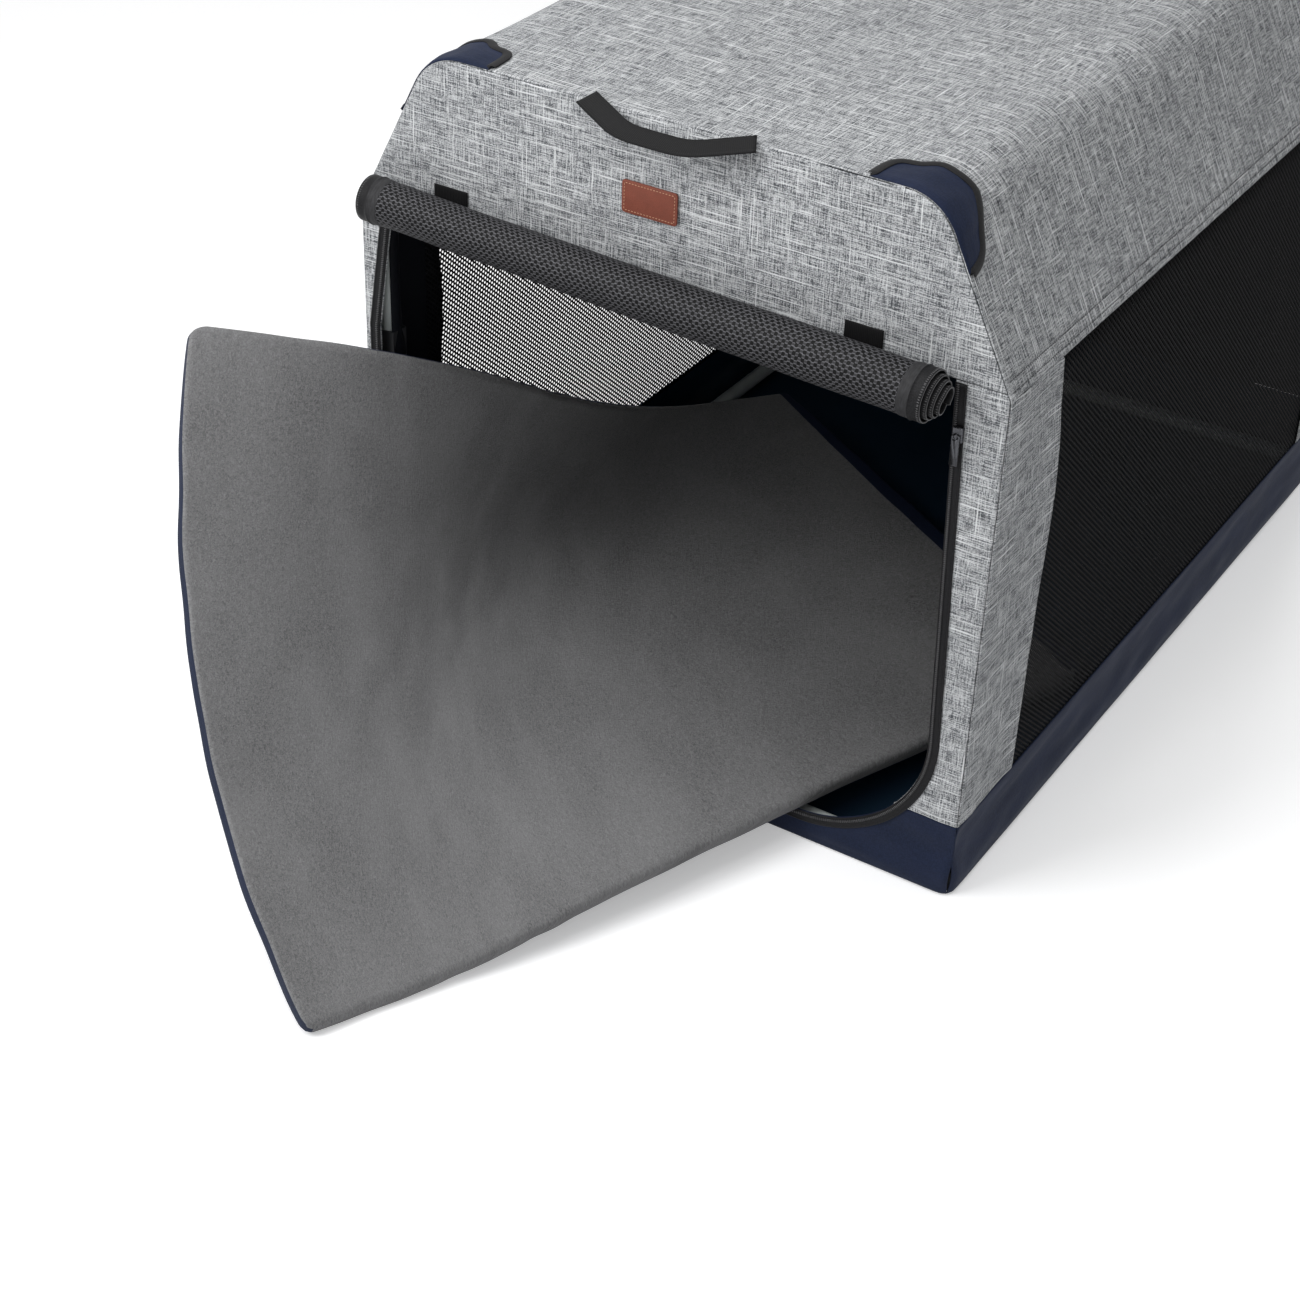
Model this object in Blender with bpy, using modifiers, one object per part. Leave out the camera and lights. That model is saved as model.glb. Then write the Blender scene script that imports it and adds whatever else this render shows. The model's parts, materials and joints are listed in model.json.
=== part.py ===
# Folding dog crate: a fabric cover over a steel tube frame whose four legs have knees, so that
# the roof comes straight down. Metres, +Z up. The front with the door faces -Y, and the origin
# is on the floor under the middle of the crate.

import math

import bmesh
import bpy
from mathutils import Vector

# Overall sizes
LENGTH = 0.910
WIDTH = 0.620
HEIGHT = 0.636
SHOULDER_DROP = 0.148
ROOF_INSET = 0.075
ROOF_RADIUS = 0.050

# Cover
SHEET = 0.002
GAP = 0.0003
FLOOR_THICK = 0.0025
BAND_Z = 0.077
POST_WIDTH = 0.105
WINDOW_HEM = 0.008
REAR_MARGIN = 0.090
SEAM_DROP = 0.0015

# Door opening, its zip and the rolled-up door
DOOR_LEFT_POST = 0.018
DOOR_RIGHT_POST = 0.031
DOOR_LEAN = 0.017
DOOR_SILL_Z = 0.032
DOOR_RISE = 0.012
DOOR_CORNER = 0.120
ZIP_TAPE = 0.014
ZIP_THICK = 0.0012
ZIP_STOP = 0.0085
ROLL_RADIUS = 0.0235
ROLL_CORE = 0.0060
ROLL_PITCH = 0.0039
ROLL_SHEET = 0.0020
ROLL_TAIL = math.radians(20)
ROLL_LEFT_INSET = 0.032
ROLL_RIGHT_INSET = 0.056
ROLL_POKE = 0.016
ROLL_LEFT_RISE = 0.008
ROLL_RIGHT_DROP = 0.011
STRAP_WIDTH = 0.034
STRAP_HEIGHT = 0.040
STRAP_THICK = 0.0016
STRAP_INSETS = (0.098, 0.1285)
STRAP_RISES = (0.0245, 0.0155)

# Front trims
LABEL_SIZE = (0.052, 0.028)
LABEL_X = -0.0165
LABEL_DROP = 0.072
LABEL_THICK = 0.0016
LABEL_CORNER = 0.003
HANDLE_HALF = 0.078
HANDLE_REACH = 0.0245
HANDLE_LEAN = 0.048
HANDLE_BAND = 0.020
HANDLE_THICK = 0.0024
HANDLE_PIVOT = 0.0015
HANDLE_ROOT = 0.0005
HANDLE_BEND = 0.060
HANDLE_DROOP = math.radians(20)

# Zip slider
SLIDER_SIZE = (0.0090, 0.0046, 0.0130)
SLIDER_DROP = 0.0415
SLIDER_EDGE = 0.0008
PULL_SIZE = (0.0070, 0.0014, 0.0260)
LUG_RADIUS = 0.0022
LUG_BORE = 0.0013
LUG_STAND = 0.0016
LUG_HALF = 0.0015
LUG_FIT = 0.0006

# Steel tube frame
TUBE_RADIUS = 0.008
SHOULDER_BEND = 0.060
RAIL_INSET = 0.085
RAIL_END = 0.0020
LEG_CLEAR = 0.0014
LEG_FOOT = 0.004

# Knees, brackets, sleeves and pins
KNEE_STAND = 0.0020
KNEE_SIDE = 0.0025
KNEE_ROOM = 0.0005
KNEE_LENGTH = 0.034
KNEE_BARREL = 0.0070
KNEE_TONGUE = 0.0045
KNEE_WALL = 0.0012
TUBE_SOCKET = 0.022
SOCKET_FIT = 0.0003
PIN_RADIUS = 0.0025
PIN_FIT = 0.0003
TURN_FIT = 0.0006
BRACKET_REACH = 0.026
BRACKET_PAST = 0.0050
BRACKET_WALL = 0.0016
BRACKET_FLOOR = 0.0022
BRACKET_SOCKET = 0.010
EAR_FIT = 0.0007
EAR_THICK = 0.0024
EAR_WALL = 0.001
SLEEVE_WALL = 0.0032
SLEEVE_FIT = 0.0004
SLEEVE_WIDTH = 0.030
SLEEVE_REACH = 0.034

# Mat
MAT_THICK = 0.016
MAT_DRAW = 0.004
MAT_CROWN = 0.004

# The mat's underside hangs on this net of points. Each row runs from the end outside to the end
# inside. x is the distance from the right side on the near long edge, from the middle of the
# crate on the middle row, and from the left side on the far long edge. y is a share of the
# length from the front, and z the height.
MAT_NEAR = (
    (0.34503, -0.495, 0.000),
    (0.24986, -0.253, -0.016),
    (0.23498, -0.357, 0.080),
    (0.03503, 0.407, 0.001),
)
MAT_MIDDLE = (
    (-0.28985, -0.374, 0.142),
    (-0.23498, 0.176, 0.027),
    (-0.35495, -0.385, 0.117),
    (-0.06510, 0.643, 0.002),
)
MAT_FAR = (
    (-0.07006, -0.165, 0.402),
    (0.20987, 0.143, 0.322),
    (0.00496, 0.209, 0.167),
    (0.08494, 0.703, 0.028),
)

# The cover's outline
HALF_L = LENGTH / 2
HALF_W = WIDTH / 2
SHOULDER_Z = HEIGHT - SHOULDER_DROP
ROOF_HALF = HALF_W - ROOF_INSET
INNER_X = HALF_W - SHEET - GAP
FRONT_FACE = -HALF_L

# The door, and what is set out from it
DOOR_LEFT = HALF_W - DOOR_LEFT_POST
DOOR_RIGHT = HALF_W - DOOR_RIGHT_POST
DOOR_RIGHT_TOP = DOOR_RIGHT - DOOR_LEAN
DOOR_TOP_Z = SHOULDER_Z + DOOR_RISE
ZIP_TOP_Z = DOOR_TOP_Z - ZIP_STOP
SLIDER_Z = ZIP_TOP_Z - SLIDER_DROP
ROLL_LEFT = HALF_W - ROLL_LEFT_INSET
ROLL_RIGHT = HALF_W - ROLL_RIGHT_INSET

# The frame round its tube: the sleeves clear the cover, and the brackets stand on the floor
SLEEVE_RADIUS = TUBE_RADIUS + SLEEVE_WALL
BRACKET_SLOT = TUBE_RADIUS + EAR_FIT
BRACKET_HALF = BRACKET_SLOT + EAR_THICK
BRACKET_BACK = TUBE_RADIUS + BRACKET_PAST
KNEE_HALF = TUBE_RADIUS + KNEE_SIDE
KNEE_OFFSET = TUBE_RADIUS + KNEE_STAND
HOOP_INSET = SHEET + GAP + SLEEVE_RADIUS
HOOP_Y = HALF_L - SHEET - KNEE_ROOM - KNEE_BARREL - KNEE_OFFSET
LEG_X = HALF_W - HOOP_INSET
RAIL_X = ROOF_HALF - RAIL_INSET
TOP_Z = HEIGHT - HOOP_INSET
BASE_TUBE_Z = FLOOR_THICK + GAP + BRACKET_FLOOR + TUBE_RADIUS
LEG_PIVOT_Z = BASE_TUBE_Z + 2 * TUBE_RADIUS + BRACKET_WALL + LEG_CLEAR
KNEE_Z = (LEG_PIVOT_Z + TOP_Z) / 2

PARTS = "folding_dog_crate"
CUTTERS = "cutters"
COLOURS = {
    "grey_oxford": ("8F9193", 0.85, 0.0),
    "navy_oxford": ("262D45", 0.80, 0.0),
    "black_mesh": ("1A1A1C", 0.80, 0.0),
    "black_tape": ("1B1B1B", 0.75, 0.0),
    "fleece": ("5C5C5E", 0.95, 0.0),
    "leather": ("9C4F36", 0.60, 0.0),
    "grey_steel": ("8A918F", 0.45, 0.6),
    "black_plastic": ("202124", 0.50, 0.0),
    "nickel": ("8C8E92", 0.30, 1.0),
}


def clear_scene():
    for obj in list(bpy.data.objects):
        bpy.data.objects.remove(obj, do_unlink=True)
    for name in (PARTS, CUTTERS):
        bpy.context.scene.collection.children.link(bpy.data.collections.new(name))


def material(name):
    found = bpy.data.materials.get(name)
    if found:
        return found
    made = bpy.data.materials.new(name)
    made.use_nodes = True
    code, roughness, metallic = COLOURS[name]
    shader = made.node_tree.nodes["Principled BSDF"]
    srgb = [int(code[i : i + 2], 16) / 255 for i in (0, 2, 4)]
    linear = [c / 12.92 if c <= 0.04045 else ((c + 0.055) / 1.055) ** 2.4 for c in srgb]
    shader.inputs["Base Color"].default_value = (*linear, 1)
    shader.inputs["Roughness"].default_value = roughness
    shader.inputs["Metallic"].default_value = metallic
    return made


def place(name, data, colour, cutter=False):
    """A new object of this mesh or curve, in the parts or in the cutters."""
    obj = bpy.data.objects.new(name, data)
    bpy.data.collections[CUTTERS if cutter else PARTS].objects.link(obj)
    if cutter:
        obj.hide_render = True
        obj.display_type = "WIRE"
    else:
        data.materials.append(material(colour))
    return obj


def box(name, low, high, colour="", cutter=False):
    low, high = Vector(low), Vector(high)
    bm = bmesh.new()
    bmesh.ops.create_cube(bm, size=1)
    bmesh.ops.scale(bm, vec=high - low, verts=bm.verts)
    mesh = bpy.data.meshes.new(name)
    bm.to_mesh(mesh)
    bm.free()
    obj = place(name, mesh, colour, cutter)
    obj.location = (low + high) / 2
    return obj


def cylinder(name, centre, radius, length, axis, colour="", cutter=False, sides=24):
    bm = bmesh.new()
    bmesh.ops.create_cone(
        bm, cap_ends=True, segments=sides, radius1=radius, radius2=radius, depth=length
    )
    turn = Vector((0, 0, 1)).rotation_difference(Vector(axis)).to_matrix()
    bmesh.ops.transform(bm, matrix=turn.to_4x4(), verts=bm.verts)
    mesh = bpy.data.meshes.new(name)
    bm.to_mesh(mesh)
    bm.free()
    mesh.shade_smooth()
    mesh.set_sharp_from_angle(angle=math.radians(40))
    obj = place(name, mesh, colour, cutter)
    obj.location = centre
    return obj


def combine(obj, other, operation):
    modifier = obj.modifiers.new(other.name, "BOOLEAN")
    modifier.operation = operation
    modifier.object = other
    modifier.solver = "EXACT"


def cut(obj, *cutters):
    for other in cutters:
        combine(obj, other, "DIFFERENCE")


def join(obj, *pieces):
    for other in pieces:
        combine(obj, other, "UNION")


def bevel(obj, width, segments=2):
    modifier = obj.modifiers.new("rounded edges", "BEVEL")
    modifier.width = width
    modifier.segments = segments
    modifier.limit_method = "ANGLE"


def rounded(points, radii, steps=5):
    """The points with each inner corner turned into an arc of its radius."""
    path = [Vector(points[0])]
    for before, corner, after, radius in zip(points, points[1:], points[2:], radii, strict=False):
        corner = Vector(corner)
        back = (Vector(before) - corner).normalized()
        ahead = (Vector(after) - corner).normalized()
        if radius <= 0:
            path.append(corner)
            continue
        half = back.angle(ahead) / 2
        centre = corner + (back + ahead).normalized() * radius / math.sin(half)
        start = (corner + back * radius / math.tan(half) - centre).normalized()
        end = (corner + ahead * radius / math.tan(half) - centre).normalized()
        path += [centre + start.slerp(end, i / steps) * radius for i in range(steps + 1)]
    return [*path, Vector(points[-1])]


def offset(points, distance):
    """An open flat path moved to its left by the distance, with mitred corners."""
    points = [Vector(p) for p in points]
    sides = [(b - a).normalized() for a, b in zip(points, points[1:], strict=False)]
    left = [Vector((-s.y, s.x)) for s in sides]
    moved = [points[0] + left[0] * distance]
    for point, one, two in zip(points[1:], left, left[1:], strict=False):
        mitre = (one + two).normalized()
        moved.append(point + mitre * distance / mitre.dot(one))
    return [*moved, points[-1] + left[-1] * distance]


def flip(points):
    """The same flat points on the other side of the middle, in reverse order."""
    return [Vector((-p[0], p[1])) for p in reversed(points)]


def plate(name, outlines, thick, centre, turn, colour):
    """A flat outline, with any holes after it, of this thickness about the centre."""
    curve = bpy.data.curves.new(name, "CURVE")
    curve.dimensions = "2D"
    curve.fill_mode = "BOTH"
    curve.extrude = thick / 2
    for outline in outlines:
        spline = curve.splines.new("POLY")
        spline.points.add(len(outline) - 1)
        spline.use_cyclic_u = True
        for point, place_at in zip(spline.points, outline, strict=True):
            point.co = (place_at[0], place_at[1], 0, 1)
    obj = place(name, curve, colour)
    obj.location = centre
    obj.rotation_euler = turn
    return obj


UPRIGHT = (math.radians(90), 0, 0)
SIDEWAYS = (math.radians(90), 0, math.radians(90))


def tube(name, points, radius, colour, resolution=2):
    curve = bpy.data.curves.new(name, "CURVE")
    curve.dimensions = "3D"
    curve.bevel_depth = radius
    curve.bevel_resolution = resolution
    curve.use_fill_caps = True
    spline = curve.splines.new("POLY")
    spline.points.add(len(points) - 1)
    for point, place_at in zip(spline.points, points, strict=True):
        point.co = (*place_at, 1)
    return place(name, curve, colour)


def as_mesh(curved, colour):
    """The curve object as a mesh object with welded caps, in the same place."""
    bpy.context.view_layer.update()
    name, where, curve = curved.name, curved.matrix_world.copy(), curved.data
    graph = bpy.context.evaluated_depsgraph_get()
    mesh = bpy.data.meshes.new_from_object(curved.evaluated_get(graph))
    bpy.data.objects.remove(curved)
    bpy.data.curves.remove(curve)
    bm = bmesh.new()
    bm.from_mesh(mesh)
    bmesh.ops.remove_doubles(bm, verts=bm.verts, dist=1e-6)
    bm.to_mesh(mesh)
    bm.free()
    mesh.materials.clear()
    solid = place(name, mesh, colour)
    solid.matrix_world = where
    return solid


def house(inset, low_z, corner=ROOF_RADIUS, steps=5):
    """The right half of the crate's front outline, from low_z up to the middle of the roof."""
    points = offset(
        [(HALF_W, 0), (HALF_W, SHOULDER_Z), (ROOF_HALF, HEIGHT), (0, HEIGHT)], inset
    )
    points[0].y = low_z
    return rounded(points, (0, corner - inset), steps)


# Cover


def floor_panel():
    box(
        "floor_panel",
        (-HALF_W, -HALF_L, 0),
        (HALF_W, HALF_L, FLOOR_THICK),
        "navy_oxford",
    )


def side_bands():
    low = FLOOR_THICK + GAP
    for name, side in (("band_left", -1), ("band_right", 1)):
        x = sorted((side * HALF_W, side * (HALF_W - SHEET)))
        box(name, (x[0], -HALF_L, low), (x[1], HALF_L, BAND_Z), "navy_oxford")
    box(
        "band_rear",
        (-INNER_X, HALF_L - SHEET, low),
        (INNER_X, HALF_L, BAND_Z),
        "navy_oxford",
    )


def door_edge(out=0.0):
    """The opening's outline, from the left top, round the sill, to the right top."""
    corners = [
        (-DOOR_LEFT, DOOR_TOP_Z),
        (-DOOR_LEFT, DOOR_SILL_Z),
        (DOOR_RIGHT, DOOR_SILL_Z),
        (DOOR_RIGHT_TOP, DOOR_TOP_Z),
    ]
    return rounded(offset(corners, -out), (DOOR_CORNER + out, DOOR_CORNER + out), 10)


def between(path, low, high):
    """The stretch of a flat path between two heights, cut square there."""
    kept = []
    for a, b in zip(path, path[1:], strict=False):
        for level in (low, high):
            if (a.y - level) * (b.y - level) < 0:
                kept.append(a.lerp(b, (level - a.y) / (b.y - a.y)))
        if low < b.y < high:
            kept.append(b)
    return kept


def band_front():
    """The navy band under the door: a shallow bowl of the opening is cut into it."""
    low = FLOOR_THICK + GAP
    bowl = between(door_edge(), 0, BAND_Z)
    outline = [(-INNER_X, low), (INNER_X, low), (INNER_X, BAND_Z), *reversed(bowl)]
    outline.append((-INNER_X, BAND_Z))
    centre = (0, FRONT_FACE + SHEET / 2, 0)
    plate("band_front", [outline], SHEET, centre, UPRIGHT, "navy_oxford")


def front_panel():
    edge = house(SHEET + GAP, BAND_Z + GAP)
    sides = [door_edge()[0], *between(door_edge(), BAND_Z + GAP, HEIGHT)]
    left = [p for p in sides if p.x < 0]
    right = [p for p in sides if p.x > 0]
    outline = [*edge, *flip(edge)[1:], *reversed(left), *reversed(right)]
    centre = (0, FRONT_FACE + SHEET / 2, 0)
    plate("front_panel", [outline], SHEET, centre, UPRIGHT, "grey_oxford")


def rear_panel():
    edge = house(SHEET + GAP, BAND_Z + GAP)
    half = INNER_X - REAR_MARGIN
    low, high = BAND_Z + WINDOW_HEM, SHOULDER_Z - WINDOW_HEM
    window = [(-half, low), (half, low), (half, high), (-half, high)]
    centre = (0, HALF_L - SHEET / 2, 0)
    outline = [*edge, *flip(edge)[1:]]
    plate("rear_panel", [outline, window], SHEET, centre, UPRIGHT, "grey_oxford")
    box(
        "rear_window",
        (-half + GAP, HALF_L - SHEET, low + GAP),
        (half - GAP, HALF_L - SHEET / 2, high - GAP),
        "black_mesh",
    )


def side_panels():
    low, high = BAND_Z + GAP, SHOULDER_Z - SEAM_DROP
    outline = [(-HALF_L, low), (HALF_L, low), (HALF_L, high), (-HALF_L, high)]
    y = HALF_L - POST_WIDTH
    sill, head = low + WINDOW_HEM, high - WINDOW_HEM
    window = [(-y, sill), (y, sill), (y, head), (-y, head)]
    for side, word in ((-1, "left"), (1, "right")):
        centre = (side * (HALF_W - SHEET / 2), 0, 0)
        name = f"side_panel_{word}"
        plate(name, [outline, window], SHEET, centre, SIDEWAYS, "grey_oxford")
        x = sorted((side * (HALF_W - SHEET), side * (HALF_W - SHEET / 2)))
        box(
            f"side_window_{word}",
            (x[0], -y + GAP, sill + GAP),
            (x[1], y - GAP, head - GAP),
            "black_mesh",
        )


def roof():
    """The two slopes, each with its rounded edge, and the flat top between them."""
    line = [(HALF_W, SHOULDER_Z), (ROOF_HALF, HEIGHT), (0, HEIGHT)]
    outer = rounded(line, (ROOF_RADIUS,), 6)[:-1]
    inner = rounded(offset(line, SHEET), (ROOF_RADIUS - SHEET,), 6)[:-1]
    slope = [*outer, *reversed(inner)]
    top_half = outer[-1].x - GAP
    plate("roof_slope_right", [slope], LENGTH, (0, 0, 0), UPRIGHT, "grey_oxford")
    plate("roof_slope_left", [flip(slope)], LENGTH, (0, 0, 0), UPRIGHT, "grey_oxford")
    box(
        "roof_top",
        (-top_half, -HALF_L, HEIGHT - SHEET),
        (top_half, HALF_L, HEIGHT),
        "grey_oxford",
    )


def door_zip():
    """The open half of the zip, a flat tape on the panel round the opening."""
    inner = between(door_edge(), 0, ZIP_TOP_Z)
    outer = between(door_edge(ZIP_TAPE), 0, ZIP_TOP_Z)
    centre = (0, FRONT_FACE - GAP - ZIP_THICK / 2, 0)
    outline = [*outer, *reversed(inner)]
    plate("door_zip_tape", [outline], ZIP_THICK, centre, UPRIGHT, "black_tape")


def roll_spiral(shift):
    """The wound door's section, shift away from the middle of the sheet: inwards it turns from
    the back, down, under and up in front."""
    turns = (ROLL_RADIUS - ROLL_SHEET / 2 - ROLL_CORE) / ROLL_PITCH
    count = round(turns * 18)
    points = []
    for i in range(count + 1):
        angle = turns * math.tau * i / count
        radius = ROLL_CORE + ROLL_PITCH * angle / math.tau + shift
        around = ROLL_TAIL + angle - turns * math.tau
        points.append(Vector((-radius * math.sin(around), radius * math.cos(around))))
    return points


def roll_axis():
    y = FRONT_FACE - GAP - STRAP_THICK - GAP - ROLL_RADIUS
    left = Vector((-ROLL_LEFT, y, DOOR_TOP_Z + ROLL_LEFT_RISE))
    return left, Vector((ROLL_RIGHT, y, DOOR_TOP_Z - ROLL_RIGHT_DROP))


def door_roll():
    """The door, unzipped and rolled up as one sheet wound on itself. The door is wider near its
    foot, so the inner turns stand out of the roll's right end."""
    half = ROLL_SHEET / 2
    outline = [*roll_spiral(half), *reversed(roll_spiral(-half))]
    left, right = roll_axis()
    length = (right - left).length
    droop = math.atan2(left.z - right.z, right.x - left.x)
    roll = plate("door_roll", [outline], length, (left + right) / 2, (0, 0, 0), "black_mesh")
    roll.rotation_euler = (0, math.radians(90) + droop, 0)
    mesh = as_mesh(roll, "black_mesh").data
    for vertex in mesh.vertices:
        if vertex.co.z > 0:
            depth = ROLL_RADIUS - math.hypot(vertex.co.x, vertex.co.y)
            vertex.co.z += ROLL_POKE * depth / (ROLL_RADIUS - ROLL_CORE)
    print(f"door roll: least gap between turns {(ROLL_PITCH - ROLL_SHEET) * 1000:.2f} mm")


def roll_straps():
    """Two hook-and-loop straps on the panel, behind the roll, which hold it up."""
    back = FRONT_FACE - GAP
    for word, side, inset, rise in zip(("left", "right"), (-1, 1), STRAP_INSETS, STRAP_RISES, strict=True):
        x = side * (HALF_W - inset)
        top = DOOR_TOP_Z + rise
        box(
            f"roll_strap_{word}",
            (x - STRAP_WIDTH / 2, back - STRAP_THICK, top - STRAP_HEIGHT),
            (x + STRAP_WIDTH / 2, back, top),
            "black_tape",
        )


def label():
    """A leather patch, bare."""
    half_x, half_z = LABEL_SIZE[0] / 2, LABEL_SIZE[1] / 2
    square = [(0, -half_z), (half_x, -half_z), (half_x, half_z), (0, half_z)]
    side = rounded(square, (LABEL_CORNER, LABEL_CORNER), 3)
    centre = (LABEL_X, FRONT_FACE - GAP - LABEL_THICK / 2, HEIGHT - LABEL_DROP)
    outline = [*side[1:-1], *flip(side[1:-1])]
    plate("leather_label", [outline], LABEL_THICK, centre, UPRIGHT, "leather")


def handle():
    """The flat grab loop, sewn to the roof's front edge and free to swing about it."""
    half, far, root = HANDLE_BAND / 2, HANDLE_REACH, -HANDLE_ROOT
    top, below = HANDLE_HALF - HANDLE_LEAN, Vector((HANDLE_HALF + HANDLE_LEAN / 2, -far / 2))
    line = [(-below.x, below.y), (-top, far), (top, far), below]
    outer = rounded(offset(line, half), (HANDLE_BEND + half, HANDLE_BEND + half), 6)
    inner = rounded(offset(line, -half), (HANDLE_BEND - half, HANDLE_BEND - half), 6)
    outer, inner = between(outer, root, far + HANDLE_BAND), between(inner, root, far)
    pivot = (0, FRONT_FACE - HANDLE_PIVOT, HEIGHT + HANDLE_PIVOT)
    outline = [*outer, *reversed(inner)]
    turn = (math.pi + HANDLE_DROOP, 0, 0)
    plate("handle", [outline], HANDLE_THICK, pivot, turn, "black_tape")


def zip_line(z):
    """The point of the door's right edge at this height."""
    share = (z - DOOR_SILL_Z) / (DOOR_TOP_Z - DOOR_SILL_Z)
    return DOOR_RIGHT + (DOOR_RIGHT_TOP - DOOR_RIGHT) * share


def zip_slider():
    """The slider on the right side of the door, and its pull, whose head runs through the eye
    of the slider's lug."""
    wide, deep, tall = SLIDER_SIZE
    x = zip_line(SLIDER_Z) + ZIP_TAPE / 2
    back = FRONT_FACE - GAP - ZIP_THICK - GAP
    body = box(
        "zip_slider",
        (x - wide / 2, back - deep, SLIDER_Z - tall / 2),
        (x + wide / 2, back, SLIDER_Z + tall / 2),
        "nickel",
    )
    bevel(body, SLIDER_EDGE)
    lug_y = back - deep - LUG_STAND
    centre = (x, lug_y, SLIDER_Z)
    lug = cylinder("slider_lug", centre, LUG_RADIUS, 2 * LUG_HALF, (1, 0, 0), cutter=True)
    eye = cylinder("lug_eye", centre, LUG_BORE, wide, (1, 0, 0), cutter=True, sides=16)
    join(body, lug)
    cut(body, eye)
    pull_wide, pull_thick, pull_long = PULL_SIZE
    head = pull_thick / 2
    pull = box(
        "zip_pull",
        (x - pull_wide / 2, lug_y - head, SLIDER_Z - pull_long),
        (x + pull_wide / 2, lug_y + head, SLIDER_Z + head),
        "nickel",
    )
    slot = LUG_HALF + LUG_FIT
    window = box(
        "pull_window",
        (x - slot, lug_y - pull_thick, SLIDER_Z - LUG_RADIUS - GAP),
        (x + slot, lug_y + pull_thick, SLIDER_Z - head),
        cutter=True,
    )
    cut(pull, window)


# Frame


def base_rails():
    x_end = LEG_X - BRACKET_HALF - GAP + BRACKET_SOCKET
    y_end = HOOP_Y - BRACKET_REACH - GAP + BRACKET_SOCKET
    for word, sign in (("front", -1), ("rear", 1)):
        y = sign * HOOP_Y
        points = [(-x_end, y, BASE_TUBE_Z), (x_end, y, BASE_TUBE_Z)]
        tube(f"base_rail_{word}", points, TUBE_RADIUS, "grey_steel")
    for word, sign in (("left", -1), ("right", 1)):
        x = sign * LEG_X
        points = [(x, -y_end, BASE_TUBE_Z), (x, y_end, BASE_TUBE_Z)]
        tube(f"base_rail_{word}", points, TUBE_RADIUS, "grey_steel")


def corner_bracket(word, side, end):
    """A plastic corner: sockets for two base rails and two ears for the leg's pin."""
    x, y = side * LEG_X, end * HOOP_Y
    top = BASE_TUBE_Z + TUBE_RADIUS + BRACKET_WALL
    ear_half = TUBE_RADIUS + EAR_WALL
    inward = sorted((y - end * BRACKET_REACH, y + end * BRACKET_BACK))
    low = FLOOR_THICK + GAP
    x_low, x_high = x - BRACKET_HALF, x + BRACKET_HALF
    body = box(
        f"corner_bracket_{word}", (x_low, inward[0], low), (x_high, inward[1], top), "black_plastic"
    )
    ears = []
    for name, a, b in (("near", x_low, x - BRACKET_SLOT), ("far", x + BRACKET_SLOT, x_high)):
        ear = box(
            f"ear_{name}_{word}",
            (a, y - ear_half, low + EAR_WALL),
            (b, y + ear_half, LEG_PIVOT_Z),
            cutter=True,
        )
        cap = cylinder(
            f"ear_cap_{name}_{word}",
            ((a + b) / 2, y, LEG_PIVOT_Z),
            ear_half,
            b - a,
            (1, 0, 0),
            cutter=True,
        )
        ears += [ear, cap]
    join(body, *ears)
    fit = TUBE_RADIUS + SOCKET_FIT
    across = cylinder(
        f"socket_across_{word}",
        (x - side * BRACKET_HALF, y, BASE_TUBE_Z),
        fit,
        2 * (BRACKET_SOCKET + GAP),
        (1, 0, 0),
        cutter=True,
    )
    along = cylinder(
        f"socket_along_{word}",
        (x, y - end * BRACKET_REACH, BASE_TUBE_Z),
        fit,
        2 * (BRACKET_SOCKET + GAP),
        (0, 1, 0),
        cutter=True,
    )
    bore = cylinder(
        f"leg_bore_{word}",
        (x, y, LEG_PIVOT_Z),
        PIN_RADIUS + PIN_FIT,
        4 * BRACKET_HALF,
        (1, 0, 0),
        cutter=True,
        sides=16,
    )
    cut(body, across, along, bore)
    cylinder(
        f"leg_pin_{word}",
        (x, y, LEG_PIVOT_Z),
        PIN_RADIUS,
        2 * BRACKET_HALF,
        (1, 0, 0),
        "nickel",
        sides=16,
    )


def leg(word, side, end):
    """The lower half of a leg, a tube bored for its pin and rounded about it."""
    x, y = side * LEG_X, end * HOOP_Y
    top = KNEE_Z - KNEE_LENGTH + TUBE_SOCKET
    body = cylinder(
        f"leg_{word}",
        (x, y, (LEG_PIVOT_Z - LEG_FOOT + top) / 2),
        TUBE_RADIUS,
        top - LEG_PIVOT_Z + LEG_FOOT,
        (0, 0, 1),
        "grey_steel",
        sides=20,
    )
    bore = cylinder(
        f"leg_hole_{word}",
        (x, y, LEG_PIVOT_Z),
        PIN_RADIUS + PIN_FIT,
        4 * BRACKET_HALF,
        (1, 0, 0),
        cutter=True,
        sides=16,
    )
    cut(body, bore)


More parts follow.
